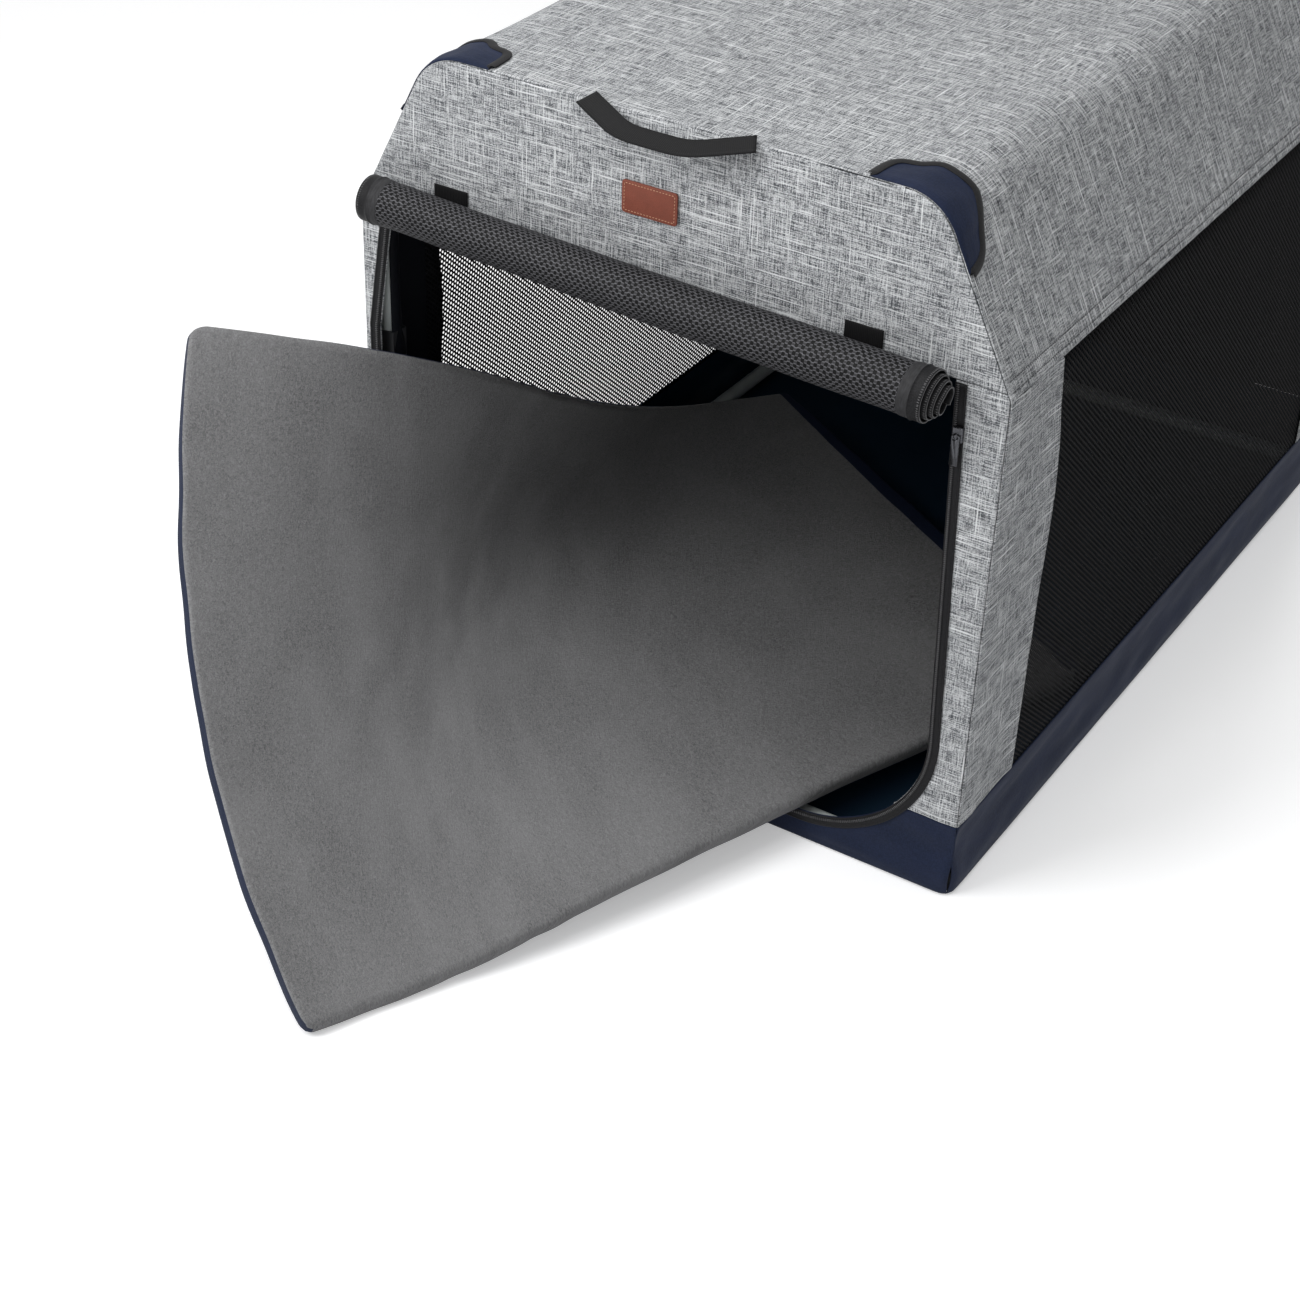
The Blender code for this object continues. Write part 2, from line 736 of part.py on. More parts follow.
def knee_half(word, side, end, up):
    """One half of a knee: a block round the tube, and its share of the barrel on the pin."""
    x, y = side * LEG_X, end * HOOP_Y
    pivot_y = end * (HOOP_Y + KNEE_OFFSET)
    part = "upper" if up > 0 else "lower"
    name = f"knee_{part}_{word}"
    outer = pivot_y - end * TURN_FIT / 2
    inner = y - end * (TUBE_RADIUS + KNEE_WALL)
    ys = sorted((outer, inner))
    zs = sorted((KNEE_Z + up * TURN_FIT / 2, KNEE_Z + up * KNEE_LENGTH))
    body = box(
        name, (x - KNEE_HALF, ys[0], zs[0]), (x + KNEE_HALF, ys[1], zs[1]), "black_plastic"
    )
    centre = (x, pivot_y, KNEE_Z)
    if up > 0:
        spans = [(x - KNEE_TONGUE, x + KNEE_TONGUE)]
        past = KNEE_HALF + KNEE_WALL
        room = [(x - past, x - KNEE_TONGUE), (x + KNEE_TONGUE, x + past)]
    else:
        inside = KNEE_TONGUE + GAP
        spans = [(x - KNEE_HALF, x - inside), (x + inside, x + KNEE_HALF)]
        room = [(x - inside, x + inside)]
    barrels = []
    for number, (a, b) in enumerate(spans):
        place_at = ((a + b) / 2, pivot_y, KNEE_Z)
        barrels.append(
            cylinder(
                f"{name}_barrel_{number}", place_at, KNEE_BARREL, b - a, (1, 0, 0), cutter=True
            )
        )
    reliefs = []
    for number, (a, b) in enumerate(room):
        place_at = ((a + b) / 2, pivot_y, KNEE_Z)
        radius = KNEE_BARREL + TURN_FIT
        reliefs.append(
            cylinder(f"{name}_room_{number}", place_at, radius, b - a, (1, 0, 0), cutter=True)
        )
    join(body, *barrels)
    socket = cylinder(
        f"{name}_socket",
        (x, y, KNEE_Z + up * KNEE_LENGTH),
        TUBE_RADIUS + SOCKET_FIT,
        2 * (TUBE_SOCKET + GAP),
        (0, 0, 1),
        cutter=True,
        sides=20,
    )
    bore = cylinder(
        f"{name}_bore",
        centre,
        PIN_RADIUS + PIN_FIT,
        4 * KNEE_HALF,
        (1, 0, 0),
        cutter=True,
        sides=16,
    )
    cut(body, *reliefs, socket, bore)


def knee(word, side, end):
    knee_half(word, side, end, -1)
    knee_half(word, side, end, 1)
    centre = (side * LEG_X, end * (HOOP_Y + KNEE_OFFSET), KNEE_Z)
    cylinder(
        f"knee_pin_{word}", centre, PIN_RADIUS, 2 * KNEE_HALF, (1, 0, 0), "nickel", sides=16
    )


def hoop(word, end):
    """The upper frame of one end: two uprights, two bent shoulders and the top tube, in one."""
    low = KNEE_Z + KNEE_LENGTH - TUBE_SOCKET
    points = offset(
        [(HALF_W, 0), (HALF_W, SHOULDER_Z), (ROOF_HALF, HEIGHT), (0, HEIGHT)], HOOP_INSET
    )
    points[0].y = low
    half = rounded(points, (SHOULDER_BEND, ROOF_RADIUS - HOOP_INSET), 5)
    path = [*half[:-1], *flip(half)[1:]]
    y = end * HOOP_Y
    tube(f"hoop_{word}", [(p[0], y, p[1]) for p in path], TUBE_RADIUS, "grey_steel", 3)


def top_rail(word, side):
    x = side * RAIL_X
    end = HOOP_Y - SLEEVE_RADIUS - RAIL_END
    points = [(x, -end, TOP_Z), (x, end, TOP_Z)]
    tube(f"top_rail_{word}", points, TUBE_RADIUS, "grey_steel")


def rail_sleeve(word, side, end):
    """A plastic tee: a ring that turns on the hoop's top tube and a socket for the rail."""
    x, y = side * RAIL_X, end * HOOP_Y
    name = f"rail_sleeve_{word}"
    body = cylinder(
        name, (x, y, TOP_Z), SLEEVE_RADIUS, SLEEVE_WIDTH, (1, 0, 0), "black_plastic"
    )
    stem = cylinder(
        f"{name}_stem",
        (x, y - end * SLEEVE_REACH / 2, TOP_Z),
        SLEEVE_RADIUS,
        SLEEVE_REACH,
        (0, 1, 0),
        cutter=True,
    )
    join(body, stem)
    ring = cylinder(
        f"{name}_ring",
        (x, y, TOP_Z),
        TUBE_RADIUS + SLEEVE_FIT,
        2 * SLEEVE_WIDTH,
        (1, 0, 0),
        cutter=True,
    )
    reach = SLEEVE_RADIUS + RAIL_END - GAP
    socket = cylinder(
        f"{name}_socket",
        (x, y - end * (reach + SLEEVE_REACH), TOP_Z),
        TUBE_RADIUS + SOCKET_FIT,
        2 * SLEEVE_REACH,
        (0, 1, 0),
        cutter=True,
        sides=20,
    )
    cut(body, ring, socket)


def frame():
    base_rails()
    for end_word, end in (("front", -1), ("rear", 1)):
        for side_word, side in (("left", -1), ("right", 1)):
            word = f"{end_word}_{side_word}"
            corner_bracket(word, side, end)
            leg(word, side, end)
            knee(word, side, end)
            rail_sleeve(word, side, end)
        hoop(end_word, end)
    top_rail("left", -1)
    top_rail("right", 1)


# Mat


def mat_point(across, along, height):
    """A point this high over the mat's middle; across and along run from 0 to 1."""
    rows = ((MAT_NEAR, HALF_W, -1), (MAT_MIDDLE, 0, 1), (MAT_FAR, -HALF_W, 1))
    net = []
    for row, side, inward in rows:
        net.append([Vector((side + inward * x, FRONT_FACE + y * LENGTH, z)) for x, y, z in row])

    def surface(u, v):
        a = ((1 - u) ** 2, 2 * u * (1 - u), u * u)
        b = ((1 - v) ** 3, 3 * v * (1 - v) ** 2, 3 * v * v * (1 - v), v**3)
        total = Vector()
        for i, row in enumerate(net):
            for j, point in enumerate(row):
                total += point * a[i] * b[j]
        return total + Vector((0, 0, MAT_THICK / 2))

    step = 0.01
    du = surface(across + step, along) - surface(across - step, along)
    dv = surface(across, along + step) - surface(across, along - step)
    up = dv.cross(du).normalized()
    return surface(across, along) + up * height


def mat():
    """The padded mat, pulled half out of the door: a crowned pad with drawn-in edges."""
    columns, rows = 14, 20
    bm = bmesh.new()
    layers = []
    for sign in (-1, 1):
        grid = []
        for i in range(columns + 1):
            line = []
            for j in range(rows + 1):
                u, v = i / columns, j / rows
                rim = min(u, 1 - u, v, 1 - v) > 0
                crown = 16 * u * (1 - u) * v * (1 - v)
                half = (MAT_THICK if rim else MAT_THICK - MAT_DRAW) / 2
                if sign > 0 and rim:
                    half += MAT_CROWN * crown
                line.append(bm.verts.new(mat_point(u, v, sign * half)))
            grid.append(line)
        layers.append(grid)
    for grid, order in zip(layers, (-1, 1), strict=True):
        for i in range(columns):
            for j in range(rows):
                ring = [grid[i][j], grid[i][j + 1], grid[i + 1][j + 1], grid[i + 1][j]]
                bm.faces.new(ring[::order])
    bottom, top = layers
    rim = [(i, 0) for i in range(columns)]
    rim += [(columns, j) for j in range(rows)]
    rim += [(i, rows) for i in range(columns, 0, -1)]
    rim += [(0, j) for j in range(rows, 0, -1)]
    for (i, j), (k, m) in zip(rim, [*rim[1:], rim[0]], strict=True):
        bm.faces.new([bottom[i][j], bottom[k][m], top[k][m], top[i][j]])
    bmesh.ops.recalc_face_normals(bm, faces=bm.faces)
    mesh = bpy.data.meshes.new("mat")
    bm.to_mesh(mesh)
    bm.free()
    mesh.shade_smooth()
    place("mat", mesh, "fleece")


def main():
    clear_scene()
    floor_panel()
    side_bands()
    band_front()
    front_panel()
    rear_panel()
    side_panels()
    roof()
    door_zip()
    door_roll()
    roll_straps()
    label()
    handle()
    zip_slider()
    frame()
    mat()


main()
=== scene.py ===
import json
import math
from functools import partial
from itertools import pairwise, product

import bmesh
import bpy
from mathutils import Matrix, Vector, noise

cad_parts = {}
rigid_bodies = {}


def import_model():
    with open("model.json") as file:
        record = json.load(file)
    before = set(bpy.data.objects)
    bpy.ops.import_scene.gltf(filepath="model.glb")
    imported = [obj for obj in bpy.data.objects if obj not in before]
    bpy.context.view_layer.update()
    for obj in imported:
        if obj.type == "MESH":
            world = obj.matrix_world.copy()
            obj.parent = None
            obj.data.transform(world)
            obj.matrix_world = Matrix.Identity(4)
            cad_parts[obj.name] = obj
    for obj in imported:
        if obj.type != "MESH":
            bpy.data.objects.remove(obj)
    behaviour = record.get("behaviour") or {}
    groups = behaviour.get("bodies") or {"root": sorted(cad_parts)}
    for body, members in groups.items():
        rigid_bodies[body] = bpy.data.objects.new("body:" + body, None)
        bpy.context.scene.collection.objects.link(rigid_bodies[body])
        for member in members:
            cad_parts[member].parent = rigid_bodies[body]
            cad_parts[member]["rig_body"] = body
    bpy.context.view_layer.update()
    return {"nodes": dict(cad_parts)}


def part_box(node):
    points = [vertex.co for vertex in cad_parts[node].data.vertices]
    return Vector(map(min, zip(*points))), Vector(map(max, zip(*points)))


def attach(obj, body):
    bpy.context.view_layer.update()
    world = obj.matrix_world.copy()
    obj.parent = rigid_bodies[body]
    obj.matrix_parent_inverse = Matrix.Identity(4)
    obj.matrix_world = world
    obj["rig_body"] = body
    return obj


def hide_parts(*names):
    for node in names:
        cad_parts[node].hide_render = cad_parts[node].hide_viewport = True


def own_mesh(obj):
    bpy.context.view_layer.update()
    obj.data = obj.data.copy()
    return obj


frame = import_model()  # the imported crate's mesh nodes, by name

bl_info = {
    "name": "Folding Dog Crate",
    "version": (1, 0, 0),
    "blender": (4, 5, 0),
    "location": "3D View > Sidebar > Dog Crate",
    "description": "Fabric cover, rolled door, nets, mat and finishes of a folding dog crate",
    "category": "Object",
}

# The cover's outline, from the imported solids
HALF_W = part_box("side_panel_right")[1].x
HALF_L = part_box("side_panel_right")[1].y
SHOULDER_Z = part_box("roof_slope_right")[0].z
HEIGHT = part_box("roof_top")[1].z
BAND_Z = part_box("band_right")[1].z
ROOF_HALF = 0.235
ROOF_RADIUS = 0.050

SIDES = ((-1, "left"), (1, "right"))
ENDS = ((-1, "front"), (1, "rear"))

# The door opening and its zip
DOOR_LEFT = 0.292
DOOR_RIGHT = 0.279
DOOR_RIGHT_TOP = 0.262
DOOR_SILL_Z = 0.032
DOOR_TOP_Z = 0.500
DOOR_CORNER = 0.120
ZIP_TOP_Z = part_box("door_zip_tape")[1].z

# The wound door
ROLL_CORE = 0.0060
ROLL_PITCH = 0.0039
ROLL_RADIUS = 0.0235
ROLL_TAIL = math.radians(20)
ROLL_LEFT = Vector((-0.278, 0, 0.508))
ROLL_RIGHT = Vector((0.254, 0, 0.489))
ROLL_POKE = 0.016

# The grab handle
HANDLE_HALF = 0.078
HANDLE_REACH = 0.0245
HANDLE_LEAN = 0.048
HANDLE_BEND = 0.060
HANDLE_DROOP = math.radians(20)
HANDLE_PIVOT = 0.0015

# The steel tubes' bends
HOOP_INSET = 0.0135
SHOULDER_BEND = 0.060

# The mat's underside hangs on these rows of points: x from the right side, from the middle and
# from the left side, y as a share of the length from the front, and the height.
MAT_THICK = 0.016
MAT_NEAR = (
    (0.34503, -0.495, 0.000),
    (0.24986, -0.253, -0.016),
    (0.23498, -0.357, 0.080),
    (0.03503, 0.407, 0.001),
)
MAT_MIDDLE = (
    (-0.28985, -0.374, 0.142),
    (-0.23498, 0.176, 0.027),
    (-0.35495, -0.385, 0.117),
    (-0.06510, 0.643, 0.002),
)
MAT_FAR = (
    (-0.07006, -0.165, 0.402),
    (0.20987, 0.143, 0.322),
    (0.00496, 0.209, 0.167),
    (0.08494, 0.703, 0.028),
)

# The share of the folded cover's height that the roll would keep, so that it lies under the folded
# handle; sewn takes it but does not use it
ROLL_SINKS = 0.77


def linear(code, share=1.0):
    """A colour written as sRGB hex, in the linear values that Blender keeps, dimmed to a
    share."""
    srgb = [int(code[i : i + 2], 16) / 255 for i in (0, 2, 4)]
    flat = [c / 12.92 if c <= 0.04045 else ((c + 0.055) / 1.055) ** 2.4 for c in srgb]
    return (*[c * share for c in flat], 1.0)


def colour_property(name, description, code):
    return bpy.props.FloatVectorProperty(
        name=name, description=description, subtype="COLOR", size=4, default=linear(code)
    )


def length_property(name, description, metres):
    return bpy.props.FloatProperty(
        name=name, description=description, default=metres, unit="LENGTH", precision=4
    )


class CrateCoverSettings(bpy.types.PropertyGroup):
    """Sizes of the sewn cover"""

    cloth: length_property("Cloth", "Thickness of the oxford and its coating", 0.0012)
    edge: length_property("Edge", "Radius at which two panels turn into their seam", 0.0040)
    groove: length_property("Groove", "Depth of the dent along a flat seam", 0.0010)
    post: length_property("Post", "Width of the cloth beside a side window", 0.105)
    rear_margin: length_property("Rear margin", "Width of the cloth beside the rear window", 0.090)
    patch_reach: length_property("Patch", "How far a corner patch reaches from the edge", 0.053)


class CrateDoorSettings(bpy.types.PropertyGroup):
    """Sizes of the door, its zip and the roll"""

    tape: length_property("Zip tape", "Width of the zip tape round the opening", 0.0105)
    tooth: length_property("Tooth", "Spacing of the coil's teeth", 0.0019)
    left_radius: length_property("Left radius", "Radius of the roll at its left end", 0.0216)
    right_radius: length_property("Right radius", "Radius of the roll at its right end", 0.0240)
    band: length_property("End band", "Width of the band and tape along the door's sides", 0.021)
    zip_half: length_property("Zip half", "Width of the zip tape beyond the band", 0.0105)


class CrateMatSettings(bpy.types.PropertyGroup):
    """Sizes of the mat"""

    width: length_property("Width", "Flat width of the mat", 0.590)
    length: length_property("Length", "Flat length of the mat", 0.890)
    round: length_property("Round", "How far the pile rolls over the long sides", 0.0065)
    end_round: length_property("End round", "How far the pile rolls over the ends", 0.0025)
    corner: length_property("Corner", "Radius of the mat's corners", 0.012)
    crown: length_property("Crown", "Extra filling in the middle", 0.0035)


class CrateColourSettings(bpy.types.PropertyGroup):
    """Colours of the finishes"""

    oxford_light: colour_property("Oxford, light", "Pale threads of the grey cloth", "CDCFD1")
    oxford_dark: colour_property("Oxford, dark", "Dark threads of the grey cloth", "4C4F53")
    navy: colour_property("Navy", "Base cloth and corner patches", "1E263B")
    tape: colour_property("Tape", "Webbing, binding and zip tape", "161617")
    net: colour_property("Net", "Window net", "060607")
    # The air mesh's threads in their painted highlight, between the rows of holes
    air_mesh: colour_property("Air mesh", "Threads of the rolled-up door", "6B6B6F")
    fleece: colour_property("Fleece", "Pile of the mat", "848485")
    leather: colour_property("Leather", "The bare label", "8A4632")
    steel: colour_property("Powder coat", "Frame tubes", "B4BAB9")
    plastic: colour_property("Plastic", "Corners, knees and sleeves", "202124")


PROPERTY_GROUPS = {
    "crate_cover": CrateCoverSettings,
    "crate_door": CrateDoorSettings,
    "crate_mat": CrateMatSettings,
    "crate_colours": CrateColourSettings,
}


# Paths and surfaces


def rounded(points, radii, count):
    """The points with each inner corner turned into an arc of its radius, in this many steps."""
    points = [Vector(p) for p in points]
    path = [points[0]]
    for before, corner, after, radius in zip(points, points[1:], points[2:], radii, strict=False):
        back = (before - corner).normalized()
        ahead = (after - corner).normalized()
        half = back.angle(ahead) / 2
        centre = corner + (back + ahead).normalized() * radius / math.sin(half)
        start = (corner + back * radius / math.tan(half) - centre).normalized()
        end = (corner + ahead * radius / math.tan(half) - centre).normalized()
        path += [centre + start.slerp(end, i / count) * radius for i in range(count + 1)]
    return [*path, points[-1]]


def offset(points, distance):
    """An open flat path moved to its left by the distance, with mitred corners."""
    points = [Vector(p) for p in points]
    sides = [(b - a).normalized() for a, b in pairwise(points)]
    left = [Vector((-s.y, s.x)) for s in sides]
    moved = [points[0] + left[0] * distance]
    for point, one, two in zip(points[1:], left, left[1:], strict=False):
        mitre = (one + two).normalized()
        moved.append(point + mitre * distance / mitre.dot(one))
    return [*moved, points[-1] + left[-1] * distance]


def measured(points):
    """The distance of each point along the path."""
    reach = [0.0]
    for a, b in pairwise(points):
        reach.append(reach[-1] + (b - a).length)
    return reach


def on_path(points, reach, distance):
    """The point and the direction at this distance along a measured path."""
    i = 1
    while i < len(points) - 1 and reach[i] < distance:
        i += 1
    a, b = points[i - 1], points[i]
    share = (distance - reach[i - 1]) / max(reach[i] - reach[i - 1], 1e-9)
    return a.lerp(b, share), (b - a).normalized()


def spaced(points, spacing):
    """The path's points at an even spacing, with the direction at each."""
    reach = measured(points)
    count = max(1, round(reach[-1] / spacing))
    return [on_path(points, reach, reach[-1] * (i + 0.5) / count) for i in range(count)]


def steps(low, high, spacing, fine_low=(), fine_high=()):
    """Places from low to high, evenly spaced between close ones near each end."""
    start = low + (fine_low[-1] if fine_low else 0)
    stop = high - (fine_high[-1] if fine_high else 0)
    count = max(1, round((stop - start) / spacing))
    middle = [start + (stop - start) * i / count for i in range(count + 1)]
    near = [low + f for f in fine_low[:-1]]
    far = [high - f for f in reversed(fine_high[:-1])]
    return [*near, *middle, *far]


def smooth(value, low, high):
    """0 at low and 1 at high, with a soft start and end."""
    share = min(1, max(0, (value - low) / (high - low)))
    return share * share * (3 - 2 * share)


def ripple(place, sizes, height, seed):
    """Soft uneven cloth: noise of these sizes along x, y and z, up to about this height."""
    return height * noise.noise(Vector((p / s + seed for p, s in zip(place, sizes, strict=True))))


def interpolate(pairs, value):
    """The second numbers of the pairs, joined smoothly over the first ones."""
    if value <= pairs[0][0]:
        return pairs[0][1]
    for i in range(len(pairs) - 1):
        (a, p), (b, q) = pairs[i], pairs[i + 1]
        if value <= b:
            before = pairs[i - 1] if i else pairs[i]
            after = pairs[i + 2] if i + 2 < len(pairs) else pairs[i + 1]
            slope_a = (q - before[1]) / max(b - before[0], 1e-9)
            slope_b = (after[1] - p) / max(after[0] - a, 1e-9)
            t, span = (value - a) / (b - a), b - a
            rise = (2 * t**3 - 3 * t**2 + 1) * p + (3 * t**2 - 2 * t**3) * q
            return rise + span * ((t**3 - 2 * t**2 + t) * slope_a + (t**3 - t**2) * slope_b)
    return pairs[-1][1]


def turn_in(distance, radius):
    """How deep the cloth lies this far from an edge at which it turns with this radius."""
    if distance >= radius:
        return 0.0
    return radius - math.sqrt(max(radius**2 - (radius - distance) ** 2, 0))


def dent(distance, depth, width=0.0022):
    """The dent beside a flat seam or a line of stitches."""
    return depth * max(0, 1 - abs(distance) / width) ** 2


def mirrored(right):
    """The line's mirror image on the left, and then the line itself back to its start."""
    return [*[Vector((-p.x, p.y)) for p in right[:-1]], *reversed(right)]


def house(inset, low_z):
    """The crate's front outline as points of x and z, from the left foot to the right foot."""
    line = offset([(HALF_W, 0), (HALF_W, SHOULDER_Z), (ROOF_HALF, HEIGHT), (0, HEIGHT)], inset)
    line[0].y = low_z
    return mirrored(rounded(line, (0.012, ROOF_RADIUS - inset), 12))


def door_edge():
    """The door opening's edge as points of x and z, from the left top, round the sill, to the
    right top."""
    corners = [
        (-DOOR_LEFT, DOOR_TOP_Z),
        (-DOOR_LEFT, DOOR_SILL_Z),
        (DOOR_RIGHT, DOOR_SILL_Z),
        (DOOR_RIGHT_TOP, DOOR_TOP_Z),
    ]
    return rounded(corners, (DOOR_CORNER, DOOR_CORNER), 24)


def zip_hang(x, z):
    """How far the door's left edge hangs into the doorway, where the rolled door pulls it."""
    return 0.0125 * min(max((z - 0.372) / 0.088, 0), 1.3) * smooth(-x, 0.20, 0.27)


def crossing(path, level, side):
    """The x at which the path passes this height, on the left for -1 or the right for 1."""
    found = [0.0]
    for a, b in pairwise(path):
        if (a.y - level) * (b.y - level) <= 0 and a.y != b.y:
            x = a.x + (b.x - a.x) * (level - a.y) / (b.y - a.y)
            if x * side > 0:
                found.append(x)
    return max(found, key=abs)


# Meshes


def plain(a, b):
    return (a, b)


def gridded(bm, across, along):
    """A new grid's vertices, each with its place in the two lists of places."""
    columns, rows = len(across) - 1, len(along) - 1
    made = bmesh.ops.create_grid(bm, x_segments=columns, y_segments=rows, size=1)["verts"]
    return {
        v: (across[round((v.co.x + 1) / 2 * columns)], along[round((v.co.y + 1) / 2 * rows)])
        for v in made
    }


def cloth(name, patches, finishes, thick, which=None, facing=None):
    """A sheet of cloth from patches of (across, along, point, flat): a grid whose crossing at
    (a, b) goes where point(a, b) says, with flat(a, b) in metres as its place on the cloth, so
    the weave runs with the threads. The thickness lies behind the face, with the last finish as
    the lining. which(a, b) picks the finish of a face, and facing is where the face looks."""
    bm = bmesh.new()
    uv = bm.loops.layers.uv.new("cloth")
    for across, along, point, flat in patches:
        places = gridded(bm, across, along)
        for vert, place in places.items():
            vert.co = point(*place)
        for face in bm.faces:
            if face.verts[0] not in places:
                continue
            for loop in face.loops:
                loop[uv].uv = flat(*places[loop.vert])
            if which:
                corners = zip(*(places[vert] for vert in face.verts), strict=True)
                face.material_index = which(*(sum(c) / len(face.verts) for c in corners))
    obj = piece(name, bm, finishes)
    polygons = obj.data.polygons
    if facing and polygons[len(polygons) // 2].normal.dot(Vector(facing)) < 0:
        obj.data.flip_normals()
    if thick:
        wall = obj.modifiers.new("cloth thickness", "SOLIDIFY")
        wall.thickness = thick
        wall.offset = -1
        wall.use_even_offset = False
        wall.material_offset = len(obj.data.materials) - 1
    return obj


def piece(name, bm, finishes, sharp=40):
    """A new object of this mesh, with its place in its mesh and the origin at the frame's."""
    mesh = bpy.data.meshes.new(name)
    bm.to_mesh(mesh)
    bm.free()
    for word in finishes.split():
        mesh.materials.append(FINISHES[word])
    mesh.shade_smooth()
    mesh.set_sharp_from_angle(angle=math.radians(sharp))
    obj = bpy.data.objects.new(name, mesh)
    bpy.context.scene.collection.objects.link(obj)
    return obj


def fitted(obj, body, slot, *nodes):
    """Rides the piece on its body, in place of the nodes that it stands for; the slot is not used.
    """
    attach(obj, body)
    if nodes:
        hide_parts(*nodes)
    return obj


def sink(obj):
    """Gives the piece its own copy of its mesh."""
    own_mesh(obj)
    return obj


def sewn(name, patches, look, nodes, flat, rests_on, held="stretched", lower=1.0, **more):
    """A sheet of cloth on the base, with its own copy of its mesh. Its look is its finishes, its
    thickness and its slot, which is not used; the nodes that it stands for are words, and what it
    rests on is not used."""
    finishes, thick, slot = look
    ways = {key: more.pop(key) for key in ("which", "facing") if key in more}
    sheet = cloth(name, patches, finishes, thick, **ways)
    sink(fitted(sheet, "base", slot, *nodes.split()))
    return sheet


def beads(name, places, size, finish, slot):
    """Small stitches or teeth in one mesh. Each place is a point, the direction of its length
    and the way that it faces; size is its length, width and height."""
    bm = bmesh.new()
    for point, ahead, up in places:
        ahead = ahead.normalized()
        side = up.cross(ahead).normalized()
        turn = Matrix((ahead, side, ahead.cross(side))).transposed().to_4x4()
        stretch = Matrix.Diagonal((size[0] / 2, size[1] / 2, size[2] / 2, 1))
        spot = Matrix.Translation(point) @ turn @ stretch
        bmesh.ops.create_icosphere(bm, subdivisions=1, radius=1, matrix=spot)
    return sink(fitted(piece(name, bm, finish, sharp=60), "base", slot))


def swept(name, points, radius, finish):
    """A closed round tube along the points."""
    curve = bpy.data.curves.new(name, "CURVE")
    curve.dimensions = "3D"
    curve.bevel_depth = radius
    curve.bevel_resolution = 4
    curve.use_fill_caps = True
    spline = curve.splines.new("POLY")
    spline.points.add(len(points) - 1)
    for point, place in zip(spline.points, points, strict=True):
        point.co = (*place, 1)
    holder = bpy.data.objects.new(name, curve)
    bpy.context.scene.collection.objects.link(holder)
    graph = bpy.context.evaluated_depsgraph_get()
    mesh = bpy.data.meshes.new_from_object(holder.evaluated_get(graph))
    bpy.data.objects.remove(holder)
    bpy.data.curves.remove(curve)
    bm = bmesh.new()
    bm.from_mesh(mesh)
    bpy.data.meshes.remove(mesh)
    bmesh.ops.remove_doubles(bm, verts=bm.verts, dist=1e-6)
    return piece(name, bm, finish)


# Finishes


def add_node(tree, kind, *inputs, out=0, **more):
    """The output of a new node, by place or name. Its inputs are set or linked in order, or by
    their identifiers in capitals, and names in small letters are its settings."""
    made = tree.nodes.new("ShaderNode" + kind)
    for key, value in more.items():
        if key[0].islower():
            setattr(made, key, value)
    sockets = {socket.identifier.replace(" ", "_"): socket for socket in made.inputs}
    given = [*zip(made.inputs, inputs, strict=False)]
    given += [(sockets[key], value) for key, value in more.items() if key[0].isupper()]
    for socket, value in given:
        if isinstance(value, bpy.types.NodeSocket):
            tree.links.new(value, socket)
        else:
            socket.default_value = value
    return made.outputs[out]


def new_finish(name, roughness, specular=0.5, **values):
    """A material with a Principled shader, and add_node for its tree."""
    made = bpy.data.materials.new(name)
    made.use_nodes = True
    inputs = made.node_tree.nodes["Principled BSDF"].inputs
    values.update(Roughness=roughness, Specular_IOR_Level=specular)
    for key, value in values.items():
        inputs[key.replace("_", " ")].default_value = value
    return made, partial(add_node, made.node_tree)


def finished(made, tone, relief=None, **linked):
    """The material with this colour, with a relief from a height, its strength and its depth, and
    with its other inputs linked by name."""
    tree = made.node_tree
    if relief:
        height, strength, depth = relief
        bump = add_node(tree, "Bump", Height=height, Strength=strength, Distance=depth)
        linked["Normal"] = bump
    for key, value in {"Base Color": tone, **linked}.items():
        tree.links.new(value, tree.nodes["Principled BSDF"].inputs[key])
    return made


def threads(node, *sizes, detail=1.0, distortion=0.0):
    """Noise whose grains have these sizes in metres: two along the cloth, or three along the
    object's axes."""
    places = node("TexCoord", out="UV" if len(sizes) == 2 else "Object")
    scale = [1 / size for size in (*sizes, 1)[:3]]
    placed = node("Mapping", places, Scale=scale)
    return node("TexNoise", placed, Scale=1.0, Detail=detail, Distortion=distortion)


def dyed(node, pattern, low, high, first, second, share=1.0):
    """The first colour where the pattern is low, which turns to the second by this share."""
    first, second = (linear(c) if isinstance(c, str) else c for c in (first, second))
    factor = node("MapRange", pattern, low, high, 0.0, share)
    return node("Mix", factor, A_Color=first, B_Color=second, data_type="RGBA", out=2)


